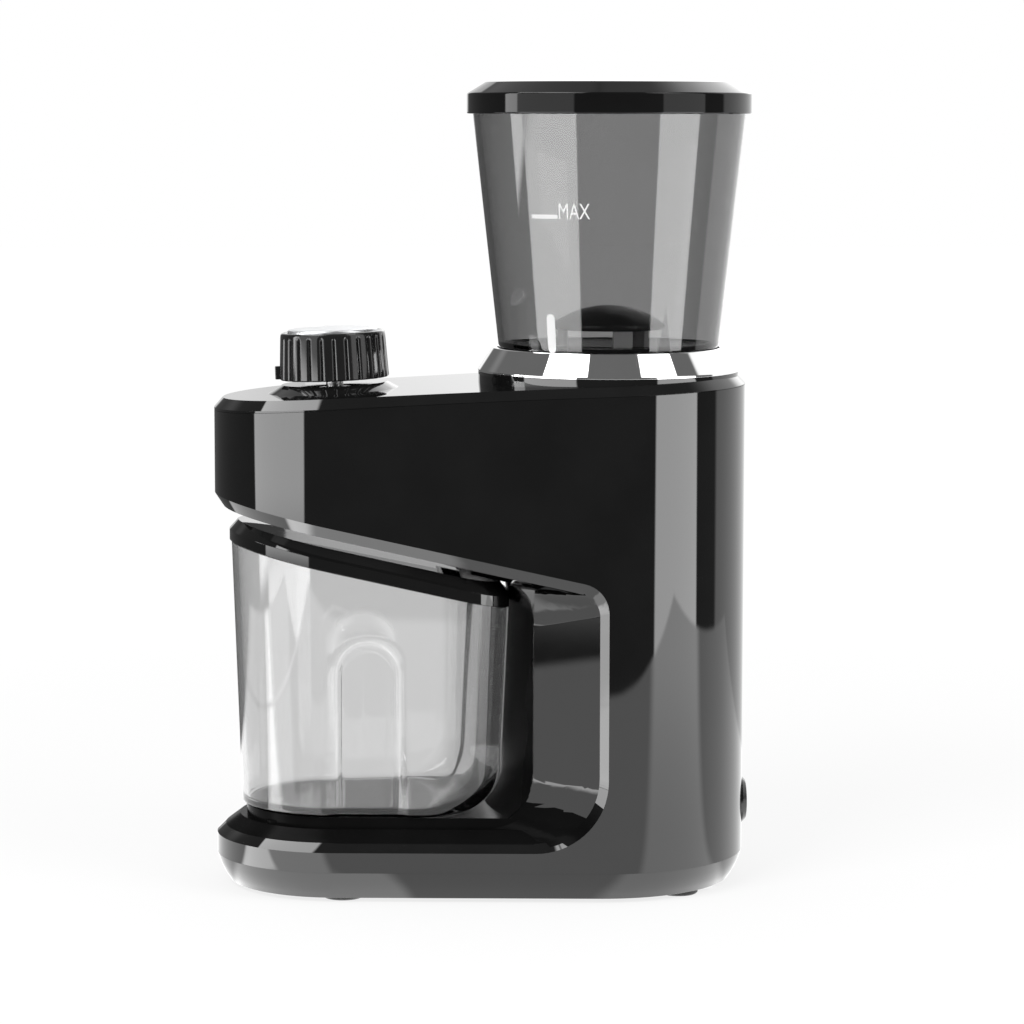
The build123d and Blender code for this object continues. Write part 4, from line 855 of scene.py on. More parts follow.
# ------------------------------------------------------------------ hopper
@dataclass
class Hopper:
    """The bean hopper with its ring, guard cap and lid."""

    axis_y: float = 43.8
    floor_z: float = 188.0
    top_z: float = 270.2
    floor_radius: float = 38.2
    slope: float = 0.1115
    wall: float = 2.0
    tube_radius: float = 36.6
    tube_wall: float = 2.4
    tube_bottom_z: float = 175.8
    step_z: float = 186.0
    bowl_corners: tuple[tuple[int, float], ...] = (
        (0, 0.5), (1, 1.2), (2, 0.3), (3, 0.5), (4, 0.5), (7, 0.4), (8, 0.4), (10, 2.2), (11, 0.5))
    throat_radius: float = 14.5
    landing_radius: float = 19.0
    landing_z: float = 185.0
    lid_radius: float = 49.2
    lid_plateau_radius: float = 42.8
    lid_plateau_z: float = 278.6
    lid_top_z: float = 280.0
    lid_rim_top_z: float = 274.7
    lid_rim_bottom_z: float = 267.7
    lid_rise: float = 0.35
    lid_gap: float = 0.6
    lid_skin: float = 2.0
    lid_crown_skin: float = 3.0
    lid_steps: int = 14
    lid_corners: tuple[tuple[int, float], ...] = ((0, 1.0), (1, 0.8), (2, 0.7), (6, 0.4), (7, 0.4))
    plug_wall: float = 1.6
    plug_rise: float = 0.4
    plug_seat: float = 0.3
    collar_radius: float = 45.2
    collar_top_z: float = 178.9
    collar_bore_radius: float = 41.4
    ring_top_z: float = 187.3
    ring_top_radius: float = 40.2
    ring_bore_radius: float = 38.7
    ring_foot: float = 0.7
    ring_skin: float = 1.6
    ring_corners: tuple[tuple[int, float], ...] = ((0, 0.3), (1, 0.7), (2, 0.5), (3, 0.15), (6, 0.4))
    guard_radius: float = 19.4
    guard_top_z: float = 201.8
    guard_edge_z: float = 195.4
    guard_rise: float = 1.6
    guard_steps: int = 12
    guard_rim: tuple[Span, ...] = ((0.0, -0.8), (-0.9, -1.8), (-3.0, -1.8), (-4.0, -0.6))
    guard_skin: float = 2.0
    guard_rounding: float = 0.25
    guard_legs: tuple[float, ...] = (12.0, 132.0, 252.0)
    leg_radius: float = 16.6
    leg_width: float = 6.5
    leg_depth: float = 2.2
    leg_sink: float = 0.9
    leg_steps: int = 8
    segments: int = 192

    def radius(self, z: float) -> float:
        """Outer radius of the cone at height z."""
        return self.floor_radius + self.slope * (z - self.floor_z)

    def bowl(self) -> None:
        """Turn the clear bowl with its tube and floor."""
        inner = self.tube_radius - self.tube_wall
        corners = [
            (self.radius(self.top_z), self.top_z), (self.radius(self.step_z), self.step_z),
            (self.tube_radius, self.step_z), (self.tube_radius, self.tube_bottom_z),
            (inner, self.tube_bottom_z), (inner, self.step_z - self.wall / 2),
            (self.landing_radius, self.landing_z - self.wall),
            (self.throat_radius, self.landing_z - self.wall),
            (self.throat_radius, self.landing_z), (self.landing_radius, self.landing_z),
            (self.radius(self.floor_z) - self.wall, self.floor_z),
            (self.radius(self.top_z) - self.wall, self.top_z),
        ]
        profile = rounded(corners, dict(self.bowl_corners))
        piece = TURNING.form("hopper_bowl", profile, Finishes.HOPPER, self.axis_y, self.segments)
        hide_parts("bean_hopper")
        ride_slot(piece, "hopper")

    def ring(self) -> None:
        """Turn the plated ring that the bowl drops into."""
        foot = self.collar_top_z + self.ring_foot
        corners = [
            (self.ring_bore_radius, self.ring_top_z), (self.ring_top_radius, self.ring_top_z),
            (self.collar_radius, foot), (self.collar_radius, self.collar_top_z),
            (self.collar_bore_radius, self.collar_top_z), (self.collar_bore_radius, foot + self.ring_skin),
            (self.ring_bore_radius, self.ring_top_z - self.ring_skin),
        ]
        profile = rounded(corners, dict(self.ring_corners))
        piece = TURNING.form("plated_ring", profile, Finishes.CHROME, self.axis_y, self.segments)
        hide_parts("chrome_ring")
        ride_slot(piece, "housing")

    def lid(self) -> None:
        """Turn the lid with its shallow dome, bevel and plug."""
        plug = self.radius(self.lid_rim_bottom_z) - self.wall - self.lid_gap
        plug_end = self.lid_rim_bottom_z + self.plug_rise
        seat = self.top_z + self.plug_seat
        rim = self.radius(self.top_z) + self.lid_gap
        plateau = (self.lid_plateau_radius, self.lid_plateau_z)
        dome = bow((0.0, self.lid_top_z), plateau, self.lid_rise, self.lid_steps)
        corners = dome[:-1] + [
            plateau, (self.lid_radius, self.lid_rim_top_z), (self.lid_radius, self.lid_rim_bottom_z),
            (rim, self.lid_rim_bottom_z), (rim, seat), (plug, seat), (plug, plug_end),
            (plug - self.plug_wall, plug_end), (plug - self.plug_wall, seat + self.lid_skin),
            (self.lid_plateau_radius - 2 * self.lid_skin, self.lid_plateau_z - self.lid_skin),
            (0.0, self.lid_top_z - self.lid_crown_skin),
        ]
        first = len(dome) - 1
        profile = rounded(corners, {first + corner: radius for corner, radius in self.lid_corners})
        piece = TURNING.form("lid_shell", profile, Finishes.LID, self.axis_y, self.segments, closed=False)
        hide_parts("hopper_lid")
        ride_slot(piece, "lid")

    def guard(self) -> None:
        """Turn the domed guard cap over the throat and stand it on its curved legs."""
        edge = (self.guard_radius, self.guard_edge_z)
        dome = bow((0.0, self.guard_top_z), edge, self.guard_rise, self.guard_steps)
        profile = dome + [(self.guard_radius + out, self.guard_edge_z + up) for out, up in self.guard_rim]
        profile.append((0.0, self.guard_top_z - self.guard_skin))
        piece = TURNING.form("throat_guard", profile, Finishes.CAP, self.axis_y, self.segments // 2,
                            closed=False)
        inner, outer = (self.leg_radius + side * self.leg_depth / 2 for side in (-1, 1))
        leg_top = self.guard_edge_z - self.leg_sink
        section = ((inner, self.landing_z), (outer, self.landing_z), (outer, leg_top), (inner, leg_top))
        half = self.leg_width / 2 / self.leg_radius
        with opened(piece.data) as shell:
            for middle in self.guard_legs:
                rows = []
                for k in range(self.leg_steps + 1):
                    turn = math.radians(middle) + half * (2 * k / self.leg_steps - 1)
                    rows.append([shell.verts.new((
                        reach * math.cos(turn) * MM, (self.axis_y + reach * math.sin(turn)) * MM, z * MM))
                        for reach, z in section])
                for first, second in zip(rows, rows[1:]):
                    for k in range(4):
                        n = (k + 1) % 4
                        shell.faces.new((first[k], second[k], second[n], first[n]))
                shell.faces.new(rows[0])
                shell.faces.new(list(reversed(rows[-1])))
        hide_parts("guard_cap")
        ride_slot(eased(piece, self.guard_rounding, 50.0), "hopper")

    def build(self) -> None:
        """Make the hopper's pieces."""
        self.bowl()
        self.ring()
        self.lid()
        self.guard()


# ------------------------------------------------------------------ prints
@dataclass
class Print:
    """White printing on the bowl: a flat drawing wrapped on its cone."""

    bowl: Hopper
    thickness: float = 0.06
    lift: float = 0.02
    slices: int = 10
    corner_degrees: int = 15

    def wrap(self, name: str, drawing: bpy.types.Mesh, angle: float, z: float) -> None:
        """Wrap a drawing on the bowl.

        Args:
            name: The piece's name.
            drawing: Its flat closed mesh in millimetres, x along the way round, y up, z outwards from 0 to 1.
            angle: Where the drawing's x of 0 lies, in degrees about the bowl's axis.
            z: Height of the drawing's y of 0, in millimetres.
        """
        for vertex in drawing.vertices:
            across, up, out = vertex.co
            reach = self.bowl.radius(z + up) + self.lift + self.thickness * out
            turn = math.radians(angle) + across / self.bowl.radius(z)
            vertex.co = (reach * math.cos(turn) * MM, (self.bowl.axis_y + reach * math.sin(turn)) * MM,
                         (z + up) * MM)
        ride_slot(new_piece(name, mended(drawing, SLIVER), Finishes.INK), "hopper")

    def bar(self, name: str, width: float, height: float, radius: float, angle: float, z: float) -> None:
        """Print a bar with rounded corners.

        Args:
            name: The piece's name.
            width: Its width, in millimetres.
            height: Its height, in millimetres.
            radius: Radius of its corners.
            angle: Where its middle lies, in degrees about the bowl's axis.
            z: Height of its lower edge.
        """
        outline: list[Span] = []
        for x, y, turn in ((1, 1, 0), (0, 1, 90), (0, 0, 180), (1, 0, 270)):
            middle_x, middle_y = (x - 0.5) * (width - 2 * radius), radius + y * (height - 2 * radius)
            for angle_step in range(turn, turn + 91, self.corner_degrees):
                spoke = math.radians(angle_step)
                outline.append((middle_x + radius * math.cos(spoke), middle_y + radius * math.sin(spoke)))
        mesh = bpy.data.meshes.new(name)
        with opened(mesh, outwards=False) as shell:
            low, high = ([shell.verts.new((x, y, z)) for x, y in outline] for z in (0.0, 1.0))
            shell.faces.new(list(reversed(low)))
            shell.faces.new(high)
            for k in range(len(outline)):
                n = (k + 1) % len(outline)
                shell.faces.new((low[k], low[n], high[n], high[k]))
            for x in [width * (k / self.slices - 0.5) for k in range(1, self.slices)]:
                bmesh.ops.bisect_plane(shell, geom=shell.verts[:] + shell.edges[:] + shell.faces[:],
                                       dist=0.00001, plane_co=(x, 0, 0), plane_no=(1, 0, 0))
        self.wrap(name, mesh, angle, z)

    def word(self, name: str, text: str, width: float, height: float, angle: float, z: float) -> None:
        """Print a word in plain capitals.

        Args:
            name: The piece's name.
            text: The word.
            width: Its width, in millimetres.
            height: Height of its capitals.
            angle: Where it starts, in degrees about the bowl's axis.
            z: Height of its foot.
        """
        curve = bpy.data.curves.new(name, "FONT")
        curve.body, curve.extrude, curve.resolution_u = text, 0.5, 6
        drawing = placed(f"{name}_drawing", curve)
        graph = bpy.context.evaluated_depsgraph_get()
        mesh = bpy.data.meshes.new_from_object(drawing.evaluated_get(graph))
        bpy.data.objects.remove(drawing)
        spots = [vertex.co.copy() for vertex in mesh.vertices]
        low = [min(spot[axis] for spot in spots) for axis in range(3)]
        high = [max(spot[axis] for spot in spots) for axis in range(3)]
        for vertex in mesh.vertices:
            share = [(vertex.co[axis] - low[axis]) / (high[axis] - low[axis]) for axis in range(3)]
            vertex.co = (share[0] * width, share[1] * height, share[2])
        self.wrap(name, mesh, angle, z)

    def build(self) -> None:
        """Print the fill mark, its word and the pointer."""
        self.bar("fill_mark", width=10.1, height=1.4, radius=0.3, angle=-35.2, z=232.6)
        self.word("fill_word", "MAX", width=10.8, height=5.2, angle=-27.8, z=232.6)
        self.bar("pointer_mark", width=3.1, height=13.3, radius=1.5, angle=-34.8, z=187.1)


# ------------------------------------------------------------------ selector knob
@dataclass
class Knob:
    """The selector knob: a fluted cap with a spun metal disc."""

    axis_y: float = -51.2
    deck_z: float = 172.2
    tilt: float = 2.2
    foot: float = 4.5
    height: float = 16.2
    radius: float = 18.95
    top_radius: float = 18.1
    shoulder: tuple[Point, ...] = ((-0.9, 0.0, 0.0), (-0.4, -0.15, 0.0), (-0.1, -0.5, 0.0),
                                   (0.0, -1.0, 0.0), (0.05, -1.6, 0.05), (0.1, -2.3, 1.0))
    foot_lead: Point = (-0.35, 0.5, 0.6)
    skin: float = 4.0
    flutes: int = 26
    flute_depth: float = 0.9
    flute_sharpness: float = 3.2
    hub_radius: float = 7.5
    bore_radius: float = 3.02
    disc_radius: float = 15.6
    disc_gap: float = 0.02
    disc_lead: float = 0.12
    disc_recess: float = 0.6
    disc_height: float = 1.1
    disc_edge: tuple[Span, ...] = ((-0.7, -0.12), (-0.2, -0.35), (0.0, -0.75))
    disc_rise: float = 0.05
    disc_steps: int = 8
    nub_size: Point = (2.6, 1.5, 4.6)
    nub_root: float = 1.2
    nub_lift: float = 0.25
    nub_rounding: float = 0.35

    def place(self) -> Matrix:
        """The knob's own frame on the sloping deck."""
        return (Matrix.Translation((0.0, self.axis_y * MM, self.deck_z * MM))
                @ Matrix.Rotation(math.radians(self.tilt), 4, "X"))

    def cap(self) -> bpy.types.Object:
        """Turn the fluted cap with its hollow underside.

        Returns:
            The cap.
        """
        top = self.foot + self.height
        hollow, sunk = top - self.skin, top - self.disc_recess
        seat, side = self.disc_radius + self.disc_gap, self.radius - self.skin
        lead_out, lead_up, lead_share = self.foot_lead
        corners = [
            (0.0, sunk), (seat, sunk), (seat, top - self.disc_lead), (seat + self.disc_lead, top),
            *((self.top_radius + out, top + up, share) for out, up, share in self.shoulder),
            (self.radius, self.foot + lead_up, 1.0), (self.radius + lead_out, self.foot, lead_share),
            (side, self.foot), (side, hollow), (self.hub_radius, hollow), (self.hub_radius, self.foot),
            (self.bore_radius, self.foot), (self.bore_radius, hollow), (0.0, hollow),
        ]
        return TURNING.form("knob_cap", corners, Finishes.KNOB, segments=self.flutes * 16, flutes=self.flutes,
                            depth=self.flute_depth, sharpness=self.flute_sharpness, closed=False)

    def disc(self) -> bpy.types.Object:
        """Turn the domed metal disc.

        Returns:
            The disc.
        """
        top = self.foot + self.height + self.disc_height
        low = self.foot + self.height - self.disc_recess
        edge = [(self.disc_radius + out, top + up) for out, up in self.disc_edge]
        dome = bow((0.0, top), edge[0], self.disc_rise, self.disc_steps)
        corners = dome + edge[1:] + [(self.disc_radius, low), (0.0, low)]
        return TURNING.form("knob_metal_disc", corners, Finishes.DISC, closed=False)

    def nub(self) -> bpy.types.Object:
        """Make the small pointer nub at the knob's foot.

        Returns:
            The nub.
        """
        width, depth, height = self.nub_size
        middle = Vector((0.0, -self.radius - depth / 2 + self.nub_root / 2,
                         self.foot + self.nub_lift + height / 2))
        sides = Vector((width, depth + self.nub_root, height)) * MM
        mesh = bpy.data.meshes.new("knob_nub")
        with opened(mesh, outwards=False) as shell:
            bmesh.ops.create_cube(shell, size=1.0, matrix=Matrix.LocRotScale(middle * MM, None, sides))
        return eased(new_piece("knob_nub", mesh, Finishes.KNOB), self.nub_rounding)

    def build(self) -> None:
        """Make the knob's pieces and set them on the deck."""
        for piece, node, slot in ((self.cap(), "selector_knob", "gloss_black"),
                                  (self.disc(), "knob_disc", "spun_aluminium"),
                                  (self.nub(), "", "gloss_black")):
            piece.data.transform(self.place())
            if node:
                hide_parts(node)
            ride_slot(piece, "knob")


# ------------------------------------------------------------------ grounds container
@dataclass
class GroundsBin:
    """The clear grounds container, with an arched finger dent in each flank, and its black lid."""

    bow_centre_y: float = -49.9
    bow_radius: float = 43.1
    flank_splay: float = 7.0 / 91.2
    inset: float = 8.9
    draft: float = math.tan(math.radians(2.0))
    bottom_z: float = 28.3
    rear_y: float = 4.3
    corner_radius: float = 13.0
    corner_fill: float = 5.0
    heel_radius: float = 16.0
    foot_radius: float = 1.6
    wall: float = 2.0
    top_z: float = 101.5
    rim_slope: float = 0.2165
    level_z: float = 47.0
    dent_y: float = -41.0
    dent_half_width: float = 13.5
    dent_spring_z: float = 77.9
    dent_depth: float = 1.6
    dent_flank: float = 3.0
    dent_step: float = 2.4
    dent_soft: float = 0.18
    dent_shares: Span = (0.5, 2.2)
    rear_draft: float = math.tan(math.radians(2.65))
    skirt_z: float = 101.5
    lid_edge: float = 0.45
    leg_steps: tuple[int, ...] = (20, 44, 12, 8)
    foot_levels: tuple[float, ...] = (0.0, 0.0006, 0.0025, 0.0055, 0.0095, 0.0142, 0.0195, 0.026)
    wall_steps: int = 56

    def outline(self, z: float, inward: float, share: float) -> tuple[float, float, float, float]:
        """A point on the right half of the container's outline.

        Args:
            z: Height of the outline.
            inward: How far the surface lies inside the outer skin.
            share: Way round the half outline from the front, 0, to the rear, 4, in four stretches.

        Returns:
            The point's x and y, and the x and y of the outward direction there.
        """
        rise = z - self.bottom_z
        floor = self.bottom_z + inward
        foot = max(0.0, self.foot_radius - (z - floor))
        tuck = inward + self.foot_radius - math.sqrt(max(0.0, self.foot_radius ** 2 - foot ** 2))
        spread = rise * self.draft - tuck
        splay = math.asin(self.flank_splay)
        bow_radius = self.bow_radius - self.inset + spread
        heel = self.heel_radius - inward
        lift = max(0.0, heel - (z - floor))
        back = self.rear_y + rise * self.rear_draft - tuck
        rear = min(back, back - heel + math.sqrt(max(0.0, heel ** 2 - lift ** 2)))
        corner = self.corner_radius + spread + self.corner_fill * inward / self.wall
        corner_y = rear - corner
        side = (bow_radius - corner + (corner_y - self.bow_centre_y) * self.flank_splay) / math.cos(splay)
        leg = int(min(share, 3.999))
        part = share - leg
        bow_end = (bow_radius * math.cos(splay), self.bow_centre_y - bow_radius * math.sin(splay))
        turn_start = (side + corner * math.cos(splay), corner_y - corner * math.sin(splay))
        if leg == 0:
            angle = -math.pi / 2 + part * (math.pi / 2 - splay)
            return (bow_radius * math.cos(angle), self.bow_centre_y + bow_radius * math.sin(angle),
                    math.cos(angle), math.sin(angle))
        if leg == 1:
            return (bow_end[0] + (turn_start[0] - bow_end[0]) * part,
                    bow_end[1] + (turn_start[1] - bow_end[1]) * part, math.cos(splay), -math.sin(splay))
        if leg == 2:
            angle = -splay + part * (math.pi / 2 + splay)
            return (side + corner * math.cos(angle), corner_y + corner * math.sin(angle),
                    math.cos(angle), math.sin(angle))
        return side * (1.0 - part), rear, 0.0, 1.0

    def dent(self, y: float, z: float, inward: float) -> float:
        """Depth of the finger dent at a place on the flank, in millimetres.

        Args:
            y: The place's y.
            z: The place's height.
            inward: How far the surface lies inside the outer skin, where the dent is narrower.

        Returns:
            The depth.
        """
        across = math.hypot(y - self.dent_y, max(0.0, z - self.dent_spring_z))
        edge = self.dent_half_width - self.dent_step * inward / self.wall
        share = min(1.0, max(0.0, (edge - across) / self.dent_flank))
        soft = self.dent_soft
        if share < soft:
            return self.dent_depth * share * share / (2.0 * soft * (1.0 - soft))
        if share > 1.0 - soft:
            return self.dent_depth * (1.0 - (1.0 - share) ** 2 / (2.0 * soft * (1.0 - soft)))
        return self.dent_depth * (share - soft / 2.0) / (1.0 - soft)

    def loop(self, height: float, inward: float) -> list[Point]:
        """One closed loop round the container.

        Args:
            height: Level from the floor, 0, to the rim, 1; the loops tilt with the rim as they rise.
            inward: How far the loop lies inside the outer skin.

        Returns:
            The loop's points in metres, from the front round the right side.
        """
        shares = [leg + k / steps for leg, steps in enumerate(self.leg_steps) for k in range(steps)] + [4.0]
        floor = self.bottom_z + inward
        start = self.level_z - self.bottom_z
        level = start / (self.top_z - self.bottom_z)
        half: list[Point] = []
        for share in shares:
            z, y = floor, 0.0
            for _ in range(3):
                rim = self.top_z - self.rim_slope * y
                if height < level:
                    z = floor + (start - inward) * height / level
                else:
                    z = self.level_z + (rim - self.level_z) * (height - level) / (1.0 - level)
                x, y, out_x, out_y = self.outline(z, inward, share)
            depth = self.dent(y, z, inward) if self.dent_shares[0] < share < self.dent_shares[1] else 0.0
            half.append(((x - out_x * depth) * MM, (y - out_y * depth) * MM, z * MM))
        return half + [(-x, y, z) for x, y, z in reversed(half[1:-1])]

    def box(self) -> bpy.types.Object:
        """Loft the container from its foot up the outer skin and down the inner one.

        Returns:
            The container.
        """
        foot = self.foot_levels[-1]
        levels = list(self.foot_levels[:-1])
        levels += [foot + (1.0 - foot) * k / self.wall_steps for k in range(self.wall_steps + 1)]
        loops = [self.loop(level, 0.0) for level in levels]
        loops += [self.loop(level, self.wall) for level in reversed(levels)]
        count = len(loops[0])
        verts = [point for loop in loops for point in loop]
        faces = [(low + k, low + (k + 1) % count, low + count + (k + 1) % count, low + count + k)
                 for low in range(0, (len(loops) - 1) * count, count) for k in range(count)]
        for first, flip in ((0, True), ((len(loops) - 1) * count, False)):
            for k in range(count // 2):
                corners = (k, k + 1, (count - k - 1) % count, (count - k) % count)
                face = tuple(first + corner for corner in dict.fromkeys(corners))
                faces.append(tuple(reversed(face)) if flip else face)
        mesh = closed_mesh("grounds_box", verts, faces)
        return fair(new_piece("grounds_box", mesh, Finishes.BIN), SMOOTH_DEGREES)

    def build(self) -> None:
        """Make the container and its lid."""
        box = self.box()
        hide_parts("grounds_container")
        ride_slot(box, "container")
        cover = eased_copy("container_lid", "grounds_lid", Finishes.BLACK, self.lid_edge)
        for vertex in cover.data.vertices:
            vertex.co.z = max(vertex.co.z, self.skirt_z * MM - self.rim_slope * vertex.co.y)
        ride_slot(cover, "container_cover")


# ------------------------------------------------------------------ studio
@dataclass(frozen=True)
class SoftBox:
    """A bright patch of the studio, seen in glossy surfaces only; angles in degrees."""

    azimuth: Span
    height: Span
    radiance: float
    soft: float = 1.0
    fade: float = 1.0

    def share(self, bench: NodeBench, azimuth: Wire, height: Wire) -> Wire:
        """Tell whether a direction meets the patch, 1 inside and 0 outside."""
        return (bench.between(azimuth, *self.azimuth, self.soft)
                * bench.between(height, *self.height, self.fade))


@dataclass(frozen=True)
class Lamp:
    """A square area lamp that glossy surfaces don't mirror; metres and watts."""

    name: str
    place: Point
    power: float
    aim: Point = (0.0, 0.0, 0.15)
    size: float = 0.9

    def build(self) -> None:
        """Hang the lamp and point it."""
        data = bpy.data.lights.new(self.name, "AREA")
        data.size, data.energy = self.size, self.power
        lamp = placed(self.name, data)
        lamp.location = self.place
        lamp.rotation_euler = (Vector(self.aim) - Vector(self.place)).to_track_quat("-Z", "Y").to_euler()
        lamp.visible_glossy = False


@dataclass
class Studio:
    """Camera, white surroundings, softboxes, lamps and floor."""

    left_box: Span = (-84.2, -33.2)
    right_box: Span = (38.9, 77.9)
    side_box: Span = (-97.0, -84.2)
    boxes: tuple[SoftBox, ...] = (
        SoftBox(left_box, (-7.2, -1.8), 6.3, 1.0, 1.4),
        SoftBox(left_box, (-34.0, -9.9), 6.3),
        SoftBox(left_box, (-1.8, 33.0), 1.4),
        SoftBox(left_box, (48.0, 62.0), 6.3),
        SoftBox(side_box, (-10.2, -7.6), 6.3, 1.0, 0.3),
        SoftBox(side_box, (-3.4, 24.0), 6.3, 1.0, 0.3),
        SoftBox(right_box, (-34.0, -1.8), 6.3),
        SoftBox(right_box, (-1.8, 48.0), 1.4),
        SoftBox(right_box, (48.0, 62.0), 6.3),
        SoftBox((100.0, 181.0), (-20.0, 44.0), 1.05, 2.0, 9.0),
        SoftBox((148.0, 175.0), (6.0, 52.0), 1.5, 5.0, 6.0),
        SoftBox((-181.0, -167.0), (-1.0, 22.0), 0.9, 3.0, 1.6),
        SoftBox((-181.0, -140.0), (24.0, 74.0), 0.32, 6.0, 8.0),
        SoftBox((140.0, 181.0), (50.0, 74.0), 0.32, 6.0, 6.0),
    )
    panel_turn: float = 34.2
    panel_along: Span = (-0.80, -0.06)
    panel_across: Span = (0.12, 0.50)
    panel_radiance: float = 6.5
    panel_soft: float = 0.02
    panel_floor: float = 0.05
    backdrop: SoftBox = SoftBox((120.0, 240.0), (-40.0, 30.0), 0.5, 8.0, 6.0)
    lamps: tuple[Lamp, ...] = (Lamp("key", (1.2, -0.9, 1.3), 22.0), Lamp("fill", (0.9, 1.2, 0.9), 12.0))
    ambient: float = 0.14
    even_light: float = 0.8
    plastic_loss: float = 0.55
    floor_size: float = 6.0
    floor_fade: Span = (0.22, 0.75)
    floor_tone: Span = (0.16, 0.155)
    floor_glow: Span = (0.80, 0.205)
    table_x: Span = (-0.25, 0.49)
    table_y: Span = (-0.38, 0.72)
    table_soft: float = 0.015
    table_glow: float = 1.6
    apron_front: float = 0.30
    apron_left: float = -0.60
    strip_x: Span = (0.012, 0.062)
    strip_y: Span = (-0.62, -0.12)
    strip_soft: Span = (0.004, 0.01)
    strip_glow: float = 4.7
    foot_reach: Span = (0.19, 0.23)
    side_span: Span = (-84.2, -60.0)
    side_soft: float = 1.0
    side_glow: float = 1.4
    left_sheen: float = 1.8
    right_sheen: Span = (1.2, 2.4)
    right_reach: Span = (0.15, 0.7)
    sheen_soft: float = 3.0
    eye: Point = (1.2468, -0.0687, 0.2677)
    yaw: float = 3.627
    pitch: float = 6.313
    roll: float = 0.07
    lens: float = 126.56
    sensor: float = 36.0
    clip_end: float = 50.0

    def camera(self) -> None:
        """Set up the camera."""
        data = bpy.data.cameras.new("view")
        data.lens, data.sensor_width, data.clip_end = self.lens, self.sensor, self.clip_end
        camera = placed("view", data)
        yaw, pitch = math.radians(self.yaw), math.radians(self.pitch)
        ahead = Vector((-math.cos(yaw) * math.cos(pitch), math.sin(yaw) * math.cos(pitch), -math.sin(pitch)))
        turn = ahead.to_track_quat("-Z", "Y").to_matrix().to_4x4()
        camera.matrix_world = (Matrix.Translation(self.eye) @ turn
                               @ Matrix.Rotation(math.radians(self.roll), 4, "Z"))
        bpy.context.scene.camera = camera

    def glow(self, bench: NodeBench, ray: Wire) -> Wire:
        """Radiance of the studio in a direction.

        Args:
            bench: The world's bench.
            ray: The direction.

        Returns:
            The radiance.
        """
        east, north, up = bench.parts(ray)
        azimuth = bench.azimuth(east, north)
        height = bench.math("ARCSINE", up) * PER_RADIAN
        total: Wire | float = self.ambient
        for box in self.boxes:
            total = box.share(bench, azimuth, height) * box.radiance + total
        above = bench.math("MAXIMUM", up, self.panel_floor)
        x, y = east / above, north / above
        cosine, sine = math.cos(math.radians(self.panel_turn)), math.sin(math.radians(self.panel_turn))
        panel = bench.patch(x * cosine + y * sine, self.panel_along,
                            x * sine - y * cosine, self.panel_across, self.panel_soft)
        total = panel * self.panel_radiance + total
        passing = bench.out("ShaderNodeLightPath", output="Is Transmission Ray")
        total = total * (1.0 - passing * self.plastic_loss)
        round_back = bench.math("MODULO", azimuth + 360.0, 360.0)
        behind = self.backdrop.share(bench, round_back, height) * passing
        return bench.math("MAXIMUM", total, behind * self.backdrop.radiance)

    def sight(self, bench: NodeBench) -> tuple[Wire, Wire]:
        """Tell what a ray has met so far.

        Args:
            bench: The bench of the world or the floor.

        Returns:
            Whether it is seen directly or through clear plastic, and whether it comes from a reflection.
        """
        path = bench.source("ShaderNodeLightPath")
        mirrored = bench.math("GREATER_THAN", path["Glossy Depth"], 0.5)
        passing = path["Is Transmission Ray"]
        seen = bench.math("MAXIMUM", path["Is Camera Ray"], passing * (1.0 - mirrored))
        gloss = bench.math("MAXIMUM", path["Is Glossy Ray"], passing * mirrored)
        return seen, gloss * (1.0 - seen)

    def world(self) -> None:
        """White surroundings to look at, an even light, and the softboxes for glossy surfaces."""
        world = bpy.data.worlds.new("studio")
        bpy.context.scene.world = world
        world.use_nodes = True
        bench = NodeBench(world.node_tree)
        world.node_tree.nodes.clear()
        seen, mirrored = self.sight(bench)
        glow = self.glow(bench, bench.out("ShaderNodeTexCoord", output="Generated"))
        plain, white, gloss = (bench.out("ShaderNodeBackground", {"Color": grey(1.0), "Strength": strength})
                               for strength in (self.even_light, 1.0, glow))
        lit = bench.out("ShaderNodeMixShader", {0: mirrored, 1: plain, 2: gloss})
        shown = bench.out("ShaderNodeMixShader", {0: seen, 1: lit, 2: white})
        bench.add("ShaderNodeOutputWorld", {"Surface": shown})

    def sheen(self, bench: NodeBench, x: Wire, y: Wire) -> Wire:
        """Brightness of the table as glossy surfaces mirror it.

        Args:
            bench: The floor's bench.
            x: The place's x, in metres.
            y: The place's y.

        Returns:
            The brightness.
        """
        reach, azimuth = bench.reach(x, y), bench.azimuth(x, y)
        past_foot = bench.step(reach, *self.foot_reach)
        left = bench.between(azimuth, *self.left_box, self.sheen_soft) * ((1.0 - past_foot) * self.left_sheen)
        near, far = self.right_sheen
        right = bench.between(azimuth, *self.right_box, self.sheen_soft) * (
            bench.step(reach, *self.right_reach) * (far - near) + near)
        strip = bench.between(x, *self.strip_x, self.strip_soft[0]) * (
            bench.between(y, *self.strip_y, self.strip_soft[1]) * self.strip_glow)
        side = bench.between(azimuth, *self.side_span, self.side_soft) * past_foot
        return strip + (left + right) + side * self.side_glow + self.table_glow

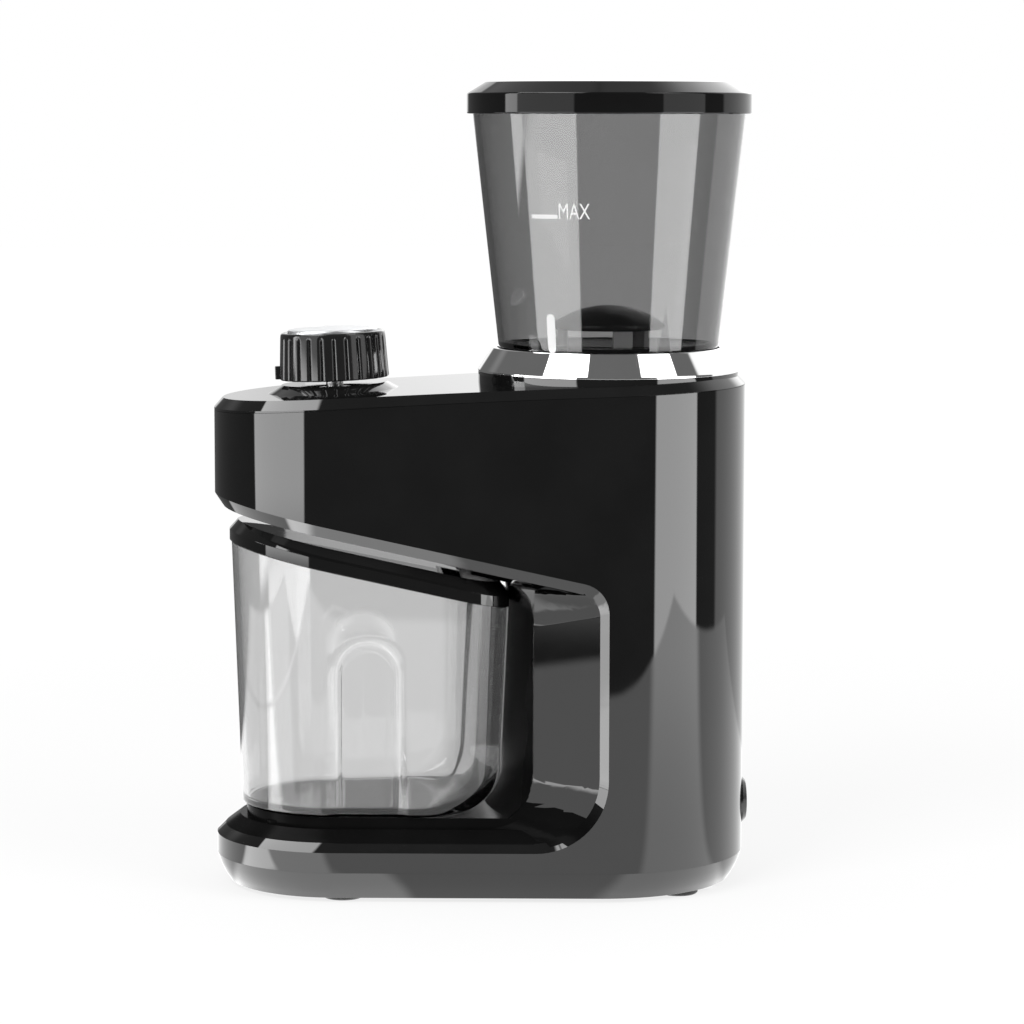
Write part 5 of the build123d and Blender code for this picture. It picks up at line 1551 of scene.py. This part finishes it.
    def floor(self) -> None:
        """Lay the white floor, which keeps a faint shadow."""
        mesh = bpy.data.meshes.new("floor")
        reach = self.floor_size
        corners = [(-reach, -reach, 0), (reach, -reach, 0), (reach, reach, 0), (-reach, reach, 0)]
        mesh.from_pydata(corners, [], [(0, 1, 2, 3)])
        made = bpy.data.materials.new("white_floor")
        made.use_nodes = True
        made.node_tree.nodes.clear()
        bench = NodeBench(made.node_tree)
        seen, mirror = self.sight(bench)
        x, y, _ = bench.parts(bench.out("ShaderNodeTexCoord", output="Object"))
        far = bench.step(bench.reach(x, y), *self.floor_fade)
        tone = self.floor_tone[0] - far * self.floor_tone[1]
        shade = bench.out("ShaderNodeCombineColor", {0: tone, 1: tone, 2: tone})
        paint = bench.out("ShaderNodeBsdfDiffuse", {"Color": shade})
        lit = seen * (far * self.floor_glow[1] + self.floor_glow[0])
        glow, card = (bench.out("ShaderNodeEmission", {"Color": grey(1.0), "Strength": strength})
                      for strength in (lit, self.sheen(bench, x, y)))
        shown = bench.out("ShaderNodeAddShader", {0: paint, 1: glow})
        table = bench.patch(x, self.table_x, y, self.table_y, self.table_soft)
        apron = bench.patch(x, (self.table_x[0], self.apron_front), y, (self.apron_left, self.table_y[0]),
                            self.table_soft)
        clear = bench.out("ShaderNodeBsdfTransparent")
        near = bench.math("MAXIMUM", table, apron)
        mirrored = bench.out("ShaderNodeMixShader", {0: near, 1: clear, 2: card})
        mixed = bench.out("ShaderNodeMixShader", {0: mirror, 1: shown, 2: mirrored})
        bench.add("ShaderNodeOutputMaterial", {"Surface": mixed})
        mesh.materials.append(made)
        floor = placed("floor", mesh)

    def build(self) -> None:
        """Set up everything round the grinder."""
        self.camera()
        self.world()
        self.floor()
        for lamp in self.lamps:
            lamp.build()


TURNING = Turning()


def dress_plain_nodes() -> None:
    """Give every CAD node its finish, those that stay and those that a piece stands for."""
    for finish, nodes in NODE_FINISHES:
        for node in nodes.split():
            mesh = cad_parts[node].data
            for index in range(max(1, len(mesh.materials))):
                if index < len(mesh.materials):
                    mesh.materials[index] = finish.material()
                else:
                    mesh.materials.append(finish.material())


def main() -> None:
    """Build the grinder and its studio."""
    logging.basicConfig(level=logging.INFO, format="%(message)s")
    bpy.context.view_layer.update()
    bpy.context.scene.view_settings.view_transform = "Standard"
    Studio().build()
    dress_plain_nodes()
    hopper = Hopper()
    for part in (Housing(), BayLiner(), hopper, Print(hopper), Knob(), GroundsBin()):
        part.build()
    bpy.context.view_layer.update()


if __name__ == "__main__":
    main()
